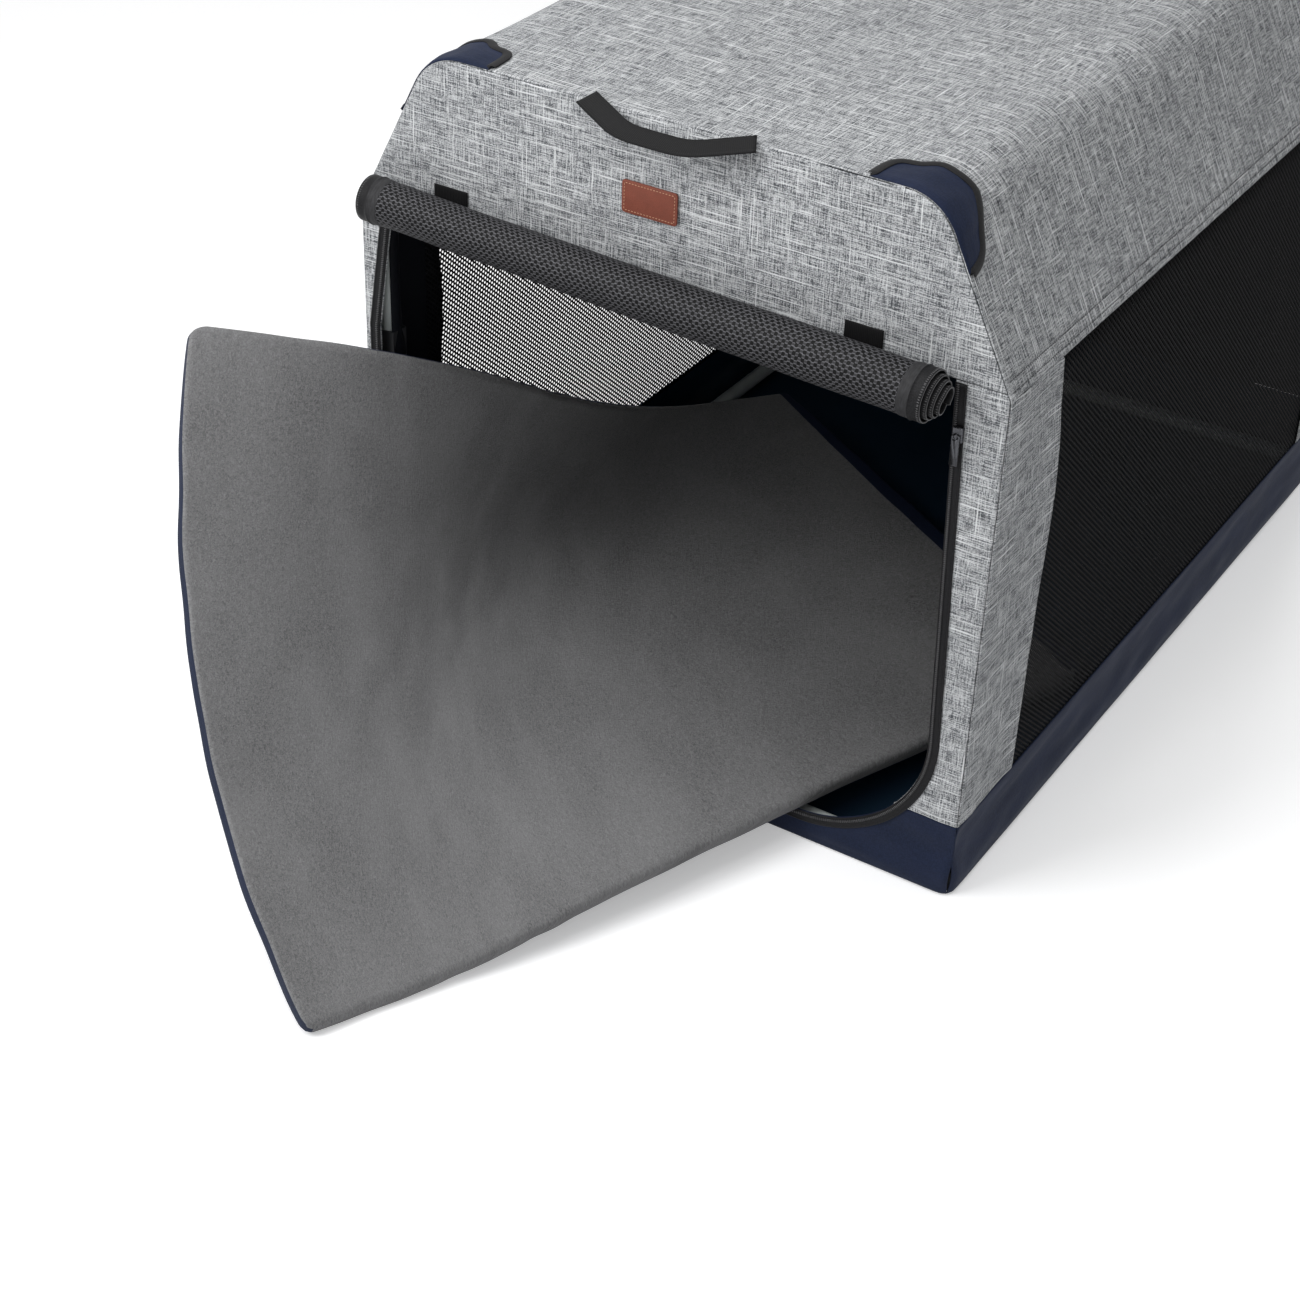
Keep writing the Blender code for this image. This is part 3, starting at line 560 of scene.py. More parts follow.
def melange_oxford(colours):
    """Woven polyester oxford of mixed pale and dark yarn: pale and dark slubs cross a grey
    ground. Its 0.5 mm threads are drawn 1.0 mm wide, so that they show."""
    made, node = new_finish("grey_oxford", 0.9, 0.08)
    weft, warp = threads(node, 0.018, 0.0010), threads(node, 0.0010, 0.014)
    weave = node("Math", weft, 1.15, warp, operation="MULTIPLY_ADD")
    knots = threads(node, 0.0014, 0.0011)
    knotted = node("Math", knots, 1.05, weave, operation="MULTIPLY_ADD")
    ground = node("MapRange", knotted, 1.33, 1.87)
    pale_weft, pale_warp = threads(node, 0.080, 0.0013), threads(node, 0.0013, 0.060)
    faint = node("Math", pale_warp, 0.94, operation="MULTIPLY")
    pale = node("Math", pale_weft, faint, operation="MAXIMUM")
    dark_warp, dark_weft = threads(node, 0.0012, 0.016), threads(node, 0.024, 0.0011)
    dark = node("Math", dark_warp, dark_weft, operation="MAXIMUM")
    yarn = dyed(node, ground, 0, 1, colours.oxford_dark, colours.oxford_light)
    yarn = dyed(node, dark, 0.62, 0.74, yarn, "3C3F43", 0.55)
    yarn = dyed(node, pale, 0.60, 0.68, yarn, "E8EAEB", 0.85)
    yarn = dyed(node, threads(node, 0.16, 0.16), 0.3, 0.7, yarn, "6E7174", 0.12)
    relief = node("Math", ground, pale, operation="ADD")
    return finished(made, yarn, (relief, 0.45, 0.0004))


def navy_oxford(colours):
    """Dyed polyester oxford, coated behind: an even weave with a dull shine on its folds."""
    made, node = new_finish("navy_oxford", 0.6, 0.10)
    weft, warp = threads(node, 0.0040, 0.0010), threads(node, 0.0010, 0.0040)
    weave = node("MapRange", node("Math", weft, warp, operation="ADD"), 0.8, 1.2)
    tone = dyed(node, weave, 0, 1, colours.navy, "10141F", 0.45)
    cloud = threads(node, 0.09, 0.03, detail=2)
    tone = dyed(node, cloud, 0.4, 0.75, tone, "28304A", 0.35)
    crease = threads(node, 0.030, 0.012, detail=3)
    relief = node("Math", weave, 0.12, crease, operation="MULTIPLY_ADD")
    return finished(made, tone, (relief, 0.5, 0.0012))


def cross_cells(node, width, height, turn=0.0):
    """1 at points in staggered rows, and -1 halfway between: a row's points are twice the width
    apart and the rows are the height apart, turned by this angle. The wave across the rows
    comes with it, which is 1 on each row and 0 between two."""
    turned = node("Mapping", node("TexCoord", out="UV"), Rotation=(0, 0, turn))
    waves = []
    for axis, spacing in enumerate((width, height)):
        place = node("SeparateXYZ", turned, out=axis)
        phase = node("Math", place, math.pi / spacing, operation="MULTIPLY")
        waves.append(node("Math", phase, operation="COSINE"))
    cells = node("Math", *waves, operation="MULTIPLY")
    return cells, node("Math", waves[1], operation="ABSOLUTE")


def window_net(colours):
    """Knitted black polyester net, whose holes lie in slanted staggered rows. The real rows are
    2.8 mm apart, and are drawn 3.9 mm apart, because they are finer than the render's pixels."""
    made, node = new_finish("window_net", 0.7, 0.03)
    cells, rows = cross_cells(node, 0.0024, 0.0039, math.radians(41))
    rowed = node("Math", rows, 0.7, operation="MULTIPLY")
    gaps = node("Math", cells, 0.3, rowed, operation="MULTIPLY_ADD")
    solid = node("MapRange", gaps, 0.52, 0.60, 1.0, 0.0)
    tone = dyed(node, rows, 0, 1, "1C1C1E", colours.net)
    depth = node("Math", rows, -1.0, operation="MULTIPLY")
    return finished(made, tone, (depth, 0.6, 0.0006), Alpha=solid)


def air_mesh(colours):
    """Knitted spacer mesh of the door: grey threads run in waves round oval holes, 5 mm apart along
    the roll, in staggered rows 3 mm apart. The holes are painted near black as painted shade, and
    the threads get a painted highlight between the rows and painted shade toward the holes."""
    made, node = new_finish("air_mesh", 0.6, 0.15)
    cells, rows = cross_cells(node, 0.0028, 0.0032)
    uneven = node("MapRange", threads(node, 0.003, 0.003, detail=2), 0.3, 0.7, -0.12, 0.12)
    hole = node("MapRange", node("Math", cells, uneven, operation="ADD"), -0.08, 0.06)
    # Painted highlight and shade on the threads: lighter between the rows, darker toward each row
    # of holes
    tone = dyed(node, rows, 0.1, 0.9, colours.air_mesh, "323234")
    # Painted shade: the holes are coloured near black rather than left open
    tone = dyed(node, hole, 0, 1, tone, "040405")
    depth = node("Math", hole, -1.0, operation="MULTIPLY")
    return finished(made, tone, (depth, 0.8, 0.0008))


def webbing(colours):
    """Woven polypropylene tape: fine ribs across it, 1.6 mm apart, and a dull shine."""
    made, node = new_finish("black_webbing", 0.55, 0.14)
    along = node("SeparateXYZ", node("TexCoord", out="UV"))
    phase = node("Math", along, math.tau / 0.0016, operation="MULTIPLY")
    rib = node("Math", phase, operation="SINE")
    fuzz = threads(node, 0.0008, 0.002, detail=2)
    height = node("Math", rib, 0.5, fuzz, operation="MULTIPLY_ADD")
    return finished(made, dyed(node, height, 0, 1, "0F0F10", colours.tape), (height, 0.5, 0.0003))


def fleece_pile(colours):
    """Short polyester fleece: matt pile that lies in small swirls about 3 mm long, so that it
    shows light and dark flecks, and broad paler strokes where a hand has brushed it."""
    made, node = new_finish("grey_fleece", 0.95, 0.05, Sheen_Weight=0.15, Sheen_Roughness=0.5)
    pile = threads(node, 0.0026, 0.0020, detail=3, distortion=1.6)
    fine = threads(node, 0.0011, 0.0011, detail=2, distortion=0.8)
    brushed = threads(node, 0.11, 0.07, detail=2, distortion=0.5)
    swirl = node("Math", pile, 0.7, operation="MULTIPLY")
    tuft = node("Math", fine, 0.3, swirl, operation="MULTIPLY_ADD")
    tone = dyed(node, tuft, 0.36, 0.64, "5B5B5C", colours.fleece)
    tone = dyed(node, brushed, 0.35, 0.7, tone, "909091", 0.30)
    return finished(made, tone, (tuft, 0.75, 0.0016))


def tanned_leather(colours):
    """Tanned cowhide with a waxed, pebbled grain about 1 mm across, darker in its creases."""
    made, node = new_finish("tan_leather", 0.5, 0.4)
    place = node("TexCoord", out="Object")
    cells = node("TexVoronoi", place, Scale=850.0, feature="DISTANCE_TO_EDGE")
    cloud = threads(node, 0.012, 0.012, 0.012, detail=3)
    tone = dyed(node, cloud, 0, 1, "6C3423", colours.leather)
    creased = node("MapRange", cells, 0.0, 0.12, 1.0, 0.0)
    tone = dyed(node, creased, 0, 1, tone, "54281B", 0.45)
    return finished(made, tone, (node("MapRange", cells, 0.0, 0.3), 0.45, 0.0003))


def powder_coated_steel(colours):
    """Welded steel tube under light grey powder coat, with a faint orange peel."""
    made, node = new_finish("grey_powder_coat", 0.42)
    peel = threads(node, 0.0022, 0.0022, 0.0022)
    smudge = threads(node, 0.05, 0.05, 0.05, detail=3)
    tone = dyed(node, smudge, 0.4, 0.8, colours.steel, "767D7B", 0.35)
    rough = node("MapRange", smudge, 0.3, 0.7, 0.36, 0.50)
    return finished(made, tone, (peel, 0.12, 0.0003), Roughness=rough)


def dark_nickel(name, code, roughness):
    """Nickel plate: bright, with fine rubbed marks that vary its gloss."""
    made, node = new_finish(name, roughness, Metallic=1.0)
    marks = threads(node, 0.0006, 0.006, 0.006, detail=3)
    tone = dyed(node, marks, 0, 1, linear(code, 0.7), code)
    rough = node("MapRange", marks, 0.3, 0.7, roughness * 0.75, roughness * 1.35)
    return finished(made, tone, Roughness=rough)


def seen(node):
    """1 for what the camera, a reflection or a clear pane sees, and 0 for light."""
    camera, mirror, pane = (
        node("LightPath", out=f"Is {kind} Ray") for kind in ("Camera", "Glossy", "Transmission")
    )
    clear = node("Math", mirror, pane, operation="MAXIMUM")
    return node("Math", camera, clear, operation="MAXIMUM")


def white_laminate():
    """The studio floor's white laminate: plain white to the camera and in reflections, with a
    soft shadow."""
    made, node = new_finish("white_floor", 0.25, Emission_Color=(1, 1, 1, 1))
    tone = dyed(node, threads(node, 0.5, 0.5, 0.5), 0, 1, "F2F3F4", "F7F7F8")
    glow = node("Math", seen(node), FLOOR_GLOW, operation="MULTIPLY")
    return finished(made, tone, **{"Emission Strength": glow})


def grained(look, sizes, detail, tones, span=(0, 1), relief=None, creases=None):
    """A material whose grain goes from one tone to the other over this span. Its relief, a
    strength and a depth, comes from the same grain or from creases of their own sizes."""
    made, node = new_finish(*look)
    grain = threads(node, *sizes, detail=detail)
    height = threads(node, *creases, detail=2) if creases else grain
    return finished(made, dyed(node, grain, *span, *tones), relief and (height, *relief))


def thread_and_edge_highlight(name, code):
    """Spun polyester thread, slightly fuzzy; the same grainy tone also serves as the pale painted
    highlight on the roll's taped rims.
    """
    return grained((name, 0.8), [0.0015] * 3, 1, (linear(code, 0.6), code))


FINISHES = {}


def make_finishes(colours):
    FINISHES.update(
        grey=melange_oxford(colours),
        navy=navy_oxford(colours),
        net=window_net(colours),
        air_mesh=air_mesh(colours),
        webbing=webbing(colours),
        fleece=fleece_pile(colours),
        leather=tanned_leather(colours),
        steel=powder_coated_steel(colours),
        nickel=dark_nickel("nickel_plate", "55565A", 0.28),
        pin=dark_nickel("zinc_pin", "9A9C9F", 0.38),
        dark_thread=thread_and_edge_highlight("dark_thread", "3A3B3E"),
        tan_thread=thread_and_edge_highlight("tan_thread", "D2A283"),
        # A pale grey tone for the rims of the roll's taped ends: a painted highlight along the edge
        # of each turn
        worn_edge=thread_and_edge_highlight("worn_edge", "6E6E70"),
        studio=white_laminate(),
        # The black coating inside the oxford: smooth, faintly creased
        lining=grained(
            ("black_lining", 0.6, 0.08),
            (0.004, 0.004),
            3,
            ("07080B", "101219"),
            relief=(0.4, 0.002),
            creases=(0.05, 0.03),
        ),
        # The navy waterproof coating of the floor: smooth, with soft creases
        floor=grained(
            ("coated_floor", 0.6, 0.10),
            (0.12, 0.12),
            2,
            ("0D1A26", "152839"),
            relief=(0.4, 0.002),
            creases=(0.06, 0.05),
        ),
        # Smooth polyester band on the door's edges, a little paler in fine streaks at random
        band=grained(
            ("edge_band", 0.6, 0.12),
            (0.0016, 0.0060),
            2,
            ("29292A", "39393B"),
            span=(0.3, 0.7),
            relief=(0.35, 0.0004),
        ),
        # Smooth twill tape of the zip and the bindings: dark grey with a soft edge light
        tape=grained(
            ("twill_tape", 0.55, 0.12),
            (0.0014, 0.0014),
            2,
            ("151516", "232325"),
            span=(0.3, 0.7),
            relief=(0.35, 0.0003),
        ),
        # Moulded black nylon of the zip's coil, with a painted shine: its colour turns paler grey
        # in spots a few millimetres across
        coil=grained(("nylon_coil", 0.3), [0.004] * 3, 1, ("2A2A2B", "58585A")),
        # Injection moulded glass-filled nylon, with the spark-eroded grain of its mould
        plastic=grained(
            ("black_nylon", 0.5, 0.45),
            [0.0009] * 3,
            2,
            ("17181A", colours.plastic),
            relief=(0.35, 0.0003),
        ),
    )


# The cover

END_PANEL = (2 * HALF_W, HEIGHT - BAND_Z)
GAP = 0.0002  # between two panels at a flat seam
MITRE = 1 - math.sqrt(0.5)

# Where the grid's lines lie close together: beside a seam, a corner and the roof's edge, and
# at the band's ends and foot
SEAM_STEPS = (0, 0.0005, 0.0012, 0.0022, 0.0040, 0.0075)
EDGE_STEPS = (0, 0.0004, 0.0011, 0.0021, 0.0038, 0.0070)
TOP_STEPS = (0, 0.0003, 0.0009, 0.0018, 0.0030, 0.0048, 0.0072, 0.0102, 0.0140, 0.0190)
BAND_STEPS = (0, 0.0006, 0.0014, 0.0024, 0.0040, 0.0065)
FOOT_STEPS = (0, 0.0004, 0.0012, 0.0024, 0.0040, 0.0070)


def corner_start(cover):
    """How far from the crate's corner the cloth of a panel starts: on the corner's mitre."""
    return cover.edge * MITRE + 0.0003


def grey_cloth(cover):
    """The look of the grey panels: finishes, thickness and slot."""
    return "grey lining", cover.cloth, "grey_oxford"


def bell(value, middle, width):
    """1 at the middle, falling softly to nothing over about this width on each side."""
    return math.exp(-(((value - middle) / width) ** 2))


def handle_room(x, away):
    """The share of its relief that the cloth keeps, this far from the roof's front edge: none
    where the handle swings against it, and none behind the roll, where the handle lies folded."""
    behind_roll = smooth(away, 0.085, 0.100) * smooth(away, 0.30, 0.20)
    flat = max(smooth(away, 0.090, 0.045), behind_roll)
    return 1 - smooth(abs(x), 0.150, 0.105) * flat


def pressed(relief, room):
    """The relief where the handle leaves it this room: elsewhere the cloth lies 1 mm back."""
    return relief * room - 0.0010 * (1 - room)


def front_relief(x, z):
    """How far the front panel stands out, in metres, besides its edges."""
    swell = ripple((x, 0, z), (0.13, 1, 0.09), 0.0014, 3.1)
    beside = smooth(abs(x), 0.262, 0.285) * smooth(z, 0.40, 0.08)
    pucker = ripple((x, 0, z), (0.060, 1, 0.011), 0.0016 * beside, 7.7)
    return pressed(swell, handle_room(x, HEIGHT - z)) + pucker


def gable(cover, outline, face, seam_z, turned, across, along):
    """An end panel's part above its opening, as a patch: face(x, z, seams) gives its points, and
    across and along are the spacings of its grid. The rear one is turned to look backwards."""
    top = HEIGHT - corner_start(cover)
    columns = [-2 + e for e in EDGE_STEPS[:-1]] + steps(-1, 1, across)
    columns += [2 - e for e in reversed(EDGE_STEPS[:-1])]

    def flat(a, b):
        half = crossing(outline, min(b, top - 1e-6), 1)
        beside = math.copysign(half - (2 - abs(a)), a)
        return (turned * (beside if abs(a) > 1 else a * (half - EDGE_STEPS[-1])), b)

    def point(a, b):
        return face(*flat(a, b), (seam_z,))

    return columns, steps(seam_z + GAP, top, along, SEAM_STEPS, TOP_STEPS), point, flat


class CRATE_OT_front_cover(bpy.types.Operator):
    """Make the grey front panel round the door opening"""

    bl_idname = "crate.front_cover"
    bl_label = "Front Cover"

    def execute(self, context):
        cover = context.scene.crate_cover
        start = corner_start(cover)
        outline, edge = house(start, BAND_Z), door_edge()
        seam_z = SHOULDER_Z + 0.006

        def face(x, z, seams):
            side_x = crossing(outline, z, math.copysign(1, x))
            outer = min(abs(side_x - x), BAND_Z + HEIGHT - z)
            away = start + min(abs(abs(crossing(outline, z, 1)) - abs(x)), HEIGHT - start - z)
            depth = turn_in(away, cover.edge) + sum(dent(z - s, cover.groove) for s in seams)
            out = front_relief(x, z) * smooth(outer, 0.0, 0.02)
            return Vector((x, -HALF_L + depth - out, z))

        def post(side):
            def flat(a, b):
                outer = crossing(outline, b, side)
                inner = crossing(edge, max(b, BAND_Z), side) if b < DOOR_TOP_Z else side * DOOR_LEFT
                near, far = sorted((outer, inner))
                return (near + (far - near) * a, b)

            def point(a, b):
                x, z = flat(a, b)
                pulled = face(x, z, (BAND_Z, seam_z))
                pulled.x += zip_hang(x, z) * smooth(a, 0, 1)
                return pulled

            shares = [0, 0.02, 0.05, 0.10, 0.18, 0.28, 0.40, 0.52, 0.64, 0.76, 0.88, 1]
            shares = [1 - s for s in reversed(shares)] if side > 0 else shares
            rows = steps(BAND_Z + GAP, seam_z - GAP, 0.006, SEAM_STEPS, SEAM_STEPS)
            return shares, rows, point, flat

        patches = [post(-1), gable(cover, outline, face, seam_z, 1, 0.022, 0.0065), post(1)]
        look = grey_cloth(cover)
        sewn("front_cover", patches, look, "front_panel", END_PANEL, "hoop_front", area=0.105)
        return {"FINISHED"}


# How wide the side posts are at these heights, because the nets pull their edges about
POST_WIDTHS = (
    (0.0745, 0.1037),
    (0.2513, 0.1090),
    (0.3454, 0.1145),
    (0.4053, 0.1091),
    (0.4398, 0.1015),
    (0.4647, 0.0979),
    (0.4925, 0.0929),
)


class CRATE_OT_side_covers(bpy.types.Operator):
    """Make the grey posts beside the side windows"""

    bl_idname = "crate.side_covers"
    bl_label = "Side Covers"

    def execute(self, context):
        cover = context.scene.crate_cover
        start = corner_start(cover)
        rows = steps(BAND_Z + GAP, SHOULDER_Z - GAP, 0.007, SEAM_STEPS, SEAM_STEPS)
        for side, word in SIDES:

            def point(a, b, side=side):
                away = HALF_L - abs(a)
                drawn = (interpolate(POST_WIDTHS, b) - cover.post) * (away / cover.post) ** 2
                y = side * math.copysign(abs(a) - drawn, a)
                depth = turn_in(HALF_L - abs(y), cover.edge)
                depth += dent(b - BAND_Z, cover.groove) + dent(b - SHOULDER_Z, cover.groove)
                inner = cover.post - away
                hem = 0.0005 * smooth(0.0085 - inner, 0, 0.0015)
                hem -= dent(inner - 0.008, 0.0004, 0.0012)
                calm = smooth(min(away, inner + 0.012), 0, 0.03)
                folds = ripple((0, y, b), (1, 0.035, 0.16), 0.0012, 5.3)
                leg = 0.0006 * bell(abs(y), 0.4355, 0.012)
                return Vector((side * (HALF_W + (folds + leg) * calm + hem - depth), y, b))

            def flat(a, b, side=side):
                return (side * a, b)

            patches = []
            for end in (-1, 1):
                low, high = sorted((end * (HALF_L - start), end * (HALF_L - cover.post)))
                columns = sorted(side * c for c in steps(low, high, 0.006, SEAM_STEPS, SEAM_STEPS))
                patches.append((columns, rows, point, flat))
            nodes, size = f"side_panel_{word}", (2 * cover.post, SHOULDER_Z - BAND_Z)
            legs = f"leg_front_{word} leg_rear_{word}"
            sewn(f"side_cover_{word}", patches, grey_cloth(cover), nodes, size, legs)
        return {"FINISHED"}


class CRATE_OT_leg_casings(bpy.types.Operator):
    """Make the black casings that hold the cover to the legs"""

    bl_idname = "crate.leg_casings"
    bl_label = "Leg Casings"

    def execute(self, context):
        low, high = BAND_Z + 0.004, SHOULDER_Z - 0.012
        columns = [i / 14 for i in range(15)] + [1.25, 1.5, 1.75, 2.0]
        for (end, end_word), (side, word) in product(ENDS, SIDES):
            leg = sum(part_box(f"leg_{end_word}_{word}"), Vector()) / 2
            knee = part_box(f"knee_lower_{end_word}_{word}")[1].z

            def point(a, b, side=side, end=end, leg=leg, knee=knee):
                radius = 0.0094 + 0.0042 * bell(b, knee, 0.026)
                turn = math.radians(-46 + 166 * min(a, 1))
                tail = max(0.0, a - 1)
                x = radius * math.cos(turn) - tail * (0.0068 + 0.0008 * math.sin(b / 0.02))
                y = radius * math.sin(turn) + 0.022 * tail
                return Vector((leg.x - side * x, leg.y - end * y, b))

            def flat(a, b):
                return (0.029 * a, b)

            name = f"leg_casing_{end_word}_{word}"
            patch = (columns, steps(low, high, 0.012), point, flat)
            look = ("lining lining", 0.0006, "black_tape")
            sewn(name, [patch], look, "", (0.052, high - low), f"side_cover_{word}")
        return {"FINISHED"}


class CRATE_OT_rear_cover(bpy.types.Operator):
    """Make the grey rear panel round its window"""

    bl_idname = "crate.rear_cover"
    bl_label = "Rear Cover"

    def execute(self, context):
        cover = context.scene.crate_cover
        start = corner_start(cover)
        outline = house(start, BAND_Z)
        half = HALF_W - cover.rear_margin
        seam_z = SHOULDER_Z - 0.006

        def face(x, z, seams):
            side_x = crossing(outline, min(z, HEIGHT - start - 1e-6), 1)
            away = start + min(abs(side_x - abs(x)), HEIGHT - start - z)
            depth = turn_in(away, cover.edge) + sum(dent(z - s, cover.groove) for s in seams)
            out = ripple((x, 0, z), (0.11, 1, 0.10), 0.0014, 11.3) * smooth(away, 0, 0.02)
            return Vector((x, HALF_L - depth + out, z))

        def post(side):
            def flat(a, b):
                outer = crossing(outline, b, 1)
                return (-side * (half + (outer - half) * abs(a)), b)

            def point(a, b):
                return face(*flat(a, b), (BAND_Z, seam_z))

            shares = [0, 0.01, 0.02, 0.04, *[0.08 * i for i in range(1, 12)], 0.93, 0.965, 0.985, 1]
            if side < 0:
                shares = [-s for s in reversed(shares)]
            rows = steps(BAND_Z + GAP, seam_z - GAP, 0.008, SEAM_STEPS, SEAM_STEPS)
            return shares, rows, point, flat

        patches = [post(-1), gable(cover, outline, face, seam_z, -1, 0.03, 0.0080), post(1)]
        look = grey_cloth(cover)
        sewn("rear_cover", patches, look, "rear_panel", END_PANEL, "hoop_rear", area=0.156)
        return {"FINISHED"}


def roof_line():
    """The roof's outline from the left shoulder over to the right one, and its distances."""
    line = [(HALF_W, SHOULDER_Z), (ROOF_HALF, HEIGHT), (0, HEIGHT)]
    points = mirrored(rounded(line, (ROOF_RADIUS,), 16))
    return points, measured(points)


def on_roof(line, reach, distance, y, out):
    """A point of the roof, this far along its outline and out from it."""
    spot, ahead = on_path(line, reach, distance)
    return Vector((spot.x - ahead.y * out, y, spot.y + ahead.x * out))


# How far the lines of stitches lie from the shoulder's seam, and the close places round them
ROOF_STITCHES = (0.0060, 0.0150)
ROOF_STEPS = (0, 0.0006, 0.0014, 0.0024, 0.0040, 0.0050, 0.0060, 0.0070)
ROOF_STEPS += (0.0090, 0.0120, 0.0140, 0.0150, 0.0160, 0.020)
ROOF_END_STEPS = (0, 0.0005, 0.0011, 0.0019, 0.0029, 0.0045, 0.0080)


class CRATE_OT_roof_cover(bpy.types.Operator):
    """Make the roof as one sheet, with both slopes and the flat top"""

    bl_idname = "crate.roof_cover"
    bl_label = "Roof Cover"

    def execute(self, context):
        cover = context.scene.crate_cover
        end = HALF_L - corner_start(cover)
        line, reach = roof_line()
        total = reach[-1]

        def point(a, b):
            away = HALF_L - abs(b)
            shoulder = min(a, total - a)
            depth = turn_in(away, cover.edge) + dent(shoulder, cover.groove)
            for stitch in ROOF_STITCHES:
                depth += dent(shoulder - stitch, 0.0007, 0.0013)
            calm = smooth(away, 0, 0.03) * smooth(shoulder, 0, 0.03)
            x = on_path(line, reach, a)[0].x
            between = math.sin(math.pi * smooth(b, -HALF_L, HALF_L))
            sag = 0.0030 * between * smooth(ROOF_HALF - abs(x), -0.02, 0.05)
            out = ripple((a, b, 0), (0.09, 0.13, 1), 0.0018, 2.2) - sag
            out = pressed(out, handle_room(x, min(b + HALF_L, 0.085)))
            return on_roof(line, reach, a, b, out * calm - depth)

        columns = steps(0, total, 0.0075, ROOF_STEPS, ROOF_STEPS)
        rows = steps(-end, end, 0.0085, ROOF_END_STEPS, ROOF_END_STEPS)
        size = (total + 0.02, 2 * HALF_L + 0.02)
        nodes = "roof_slope_left roof_slope_right roof_top"
        tubes = "hoop_front hoop_rear top_rail_left top_rail_right"
        sewn("roof_cover", [(columns, rows, point, plain)], grey_cloth(cover), nodes, size, tubes)
        return {"FINISHED"}


class CRATE_OT_base_bands(bpy.types.Operator):
    """Make the navy bands round the foot of the cover, and its floor"""

    bl_idname = "crate.base_bands"
    bl_label = "Base Bands"

    def execute(self, context):
        cover = context.scene.crate_cover
        top_z = BAND_Z - GAP
        rows = steps(0.0004, top_z, 0.0045, FOOT_STEPS, BAND_STEPS)

        def corner_radius(z):
            return cover.edge + 0.010 * (1 - smooth(z, 0.0, 0.060))

        def relief(along, z, away, seed):
            tube = 0.0016 * bell(z, 0.017, 0.013) - 0.0016 * bell(z, 0.050, 0.016)
            creases = ripple((along, 0, z), (0.055, 1, 0.016), 0.0022, seed)
            pinched = ripple((along, 0, z), (0.010, 1, 0.030), 0.0010, seed + 9)
            return tube + creases * smooth(away, 0, 0.02) + pinched * smooth(0.05 - away, 0, 0.04)

        def wall(along, z, half, seed, seam=1.0):
            """How far the band stands out, with this share of the dent at its top seam."""
            away = half - abs(along)
            depth = turn_in(away, corner_radius(z)) + turn_in(z, 0.004)
            depth += dent(BAND_Z - z, cover.groove) * seam
            calm = smooth(min(z, BAND_Z - z), 0.0, 0.012)
            return relief(along, z, away, seed) * calm - depth

        def square(along, z, half):
            """Where the corner is rounder the cloth ends further in, on the corner's mitre."""
            grown = (corner_radius(z) - cover.edge) * MITRE
            return along - math.copysign(grown * smooth(abs(along), half - 0.05, half), along)

        def band(word, half, spacing, point, flat, **more):
            end = half - corner_start(cover)
            columns = steps(-end, end, spacing, BAND_STEPS, BAND_STEPS)
            patch, size = (columns, rows, point, flat), (2 * half, BAND_Z + 0.004)
            look = ("navy floor", cover.cloth, "navy_oxford")
            nodes, rails = f"band_{word}", f"base_rail_{word}"
            sewn(f"base_band_{word}", [patch], look, nodes, size, rails, **more)

        for word, half, turned, seed, to_place in (
            ("left", HALF_L, -1, 3.4, lambda along, out: (-HALF_W - out, along)),
            ("right", HALF_L, 1, 5.4, lambda along, out: (HALF_W + out, along)),
            ("rear", HALF_W, -1, 8.1, lambda along, out: (along, HALF_L + out)),
        ):

            def point(a, b, half=half, turned=turned, seed=seed, to_place=to_place):
                along = square(turned * a, b, half)
                return Vector((*to_place(along, wall(along, b, half, seed)), b))

            def flat(a, b, turned=turned):
                return (turned * a, b)

            band(word, half, 0.0085, point, flat)

        bowl = [p for p in door_edge() if p.y <= BAND_Z + 0.004]

        def front_top(x):
            """The band's top edge: its seam, or the door's edge where that is lower."""
            for a, b in pairwise(bowl):
                if a.x <= x <= b.x:
                    return min(BAND_Z, a.y + (b.y - a.y) * (x - a.x) / (b.x - a.x)) - GAP
            return top_z

        def front_flat(a, b):
            low = FOOT_STEPS[-1]
            return (a, b if b <= low else low + (b - low) / (top_z - low) * (front_top(a) - low))

        def front_point(a, b):
            _, z = front_flat(a, b)
            x = square(a, z, HALF_W)
            seam = 1 - smooth(BAND_Z - front_top(a), 0, 0.02)
            return Vector((x, -HALF_L - wall(x, z, HALF_W, 1.7, seam), z))

        band("front", HALF_W, 0.006, front_point, front_flat, area=0.029)

        half_x, half_y = HALF_W - 0.0046, HALF_L - 0.0046

        def floor_point(a, b):
            near = max(0, 1 - (half_x - abs(a)) / 0.02) * max(0, 1 - (half_y - abs(b)) / 0.02)
            drawn = 0.006 * near
            return Vector((a - math.copysign(drawn, a), b - math.copysign(drawn, b), 0.0020))

        patch = (steps(-half_x, half_x, 0.02), steps(-half_y, half_y, 0.02), floor_point, plain)
        look, size = ("floor navy", 0.0016, "navy_oxford"), (2 * HALF_W, 2 * HALF_L)
        sewn("floor_cloth", [patch], look, "floor_panel", size, "", "laid")
        return {"FINISHED"}


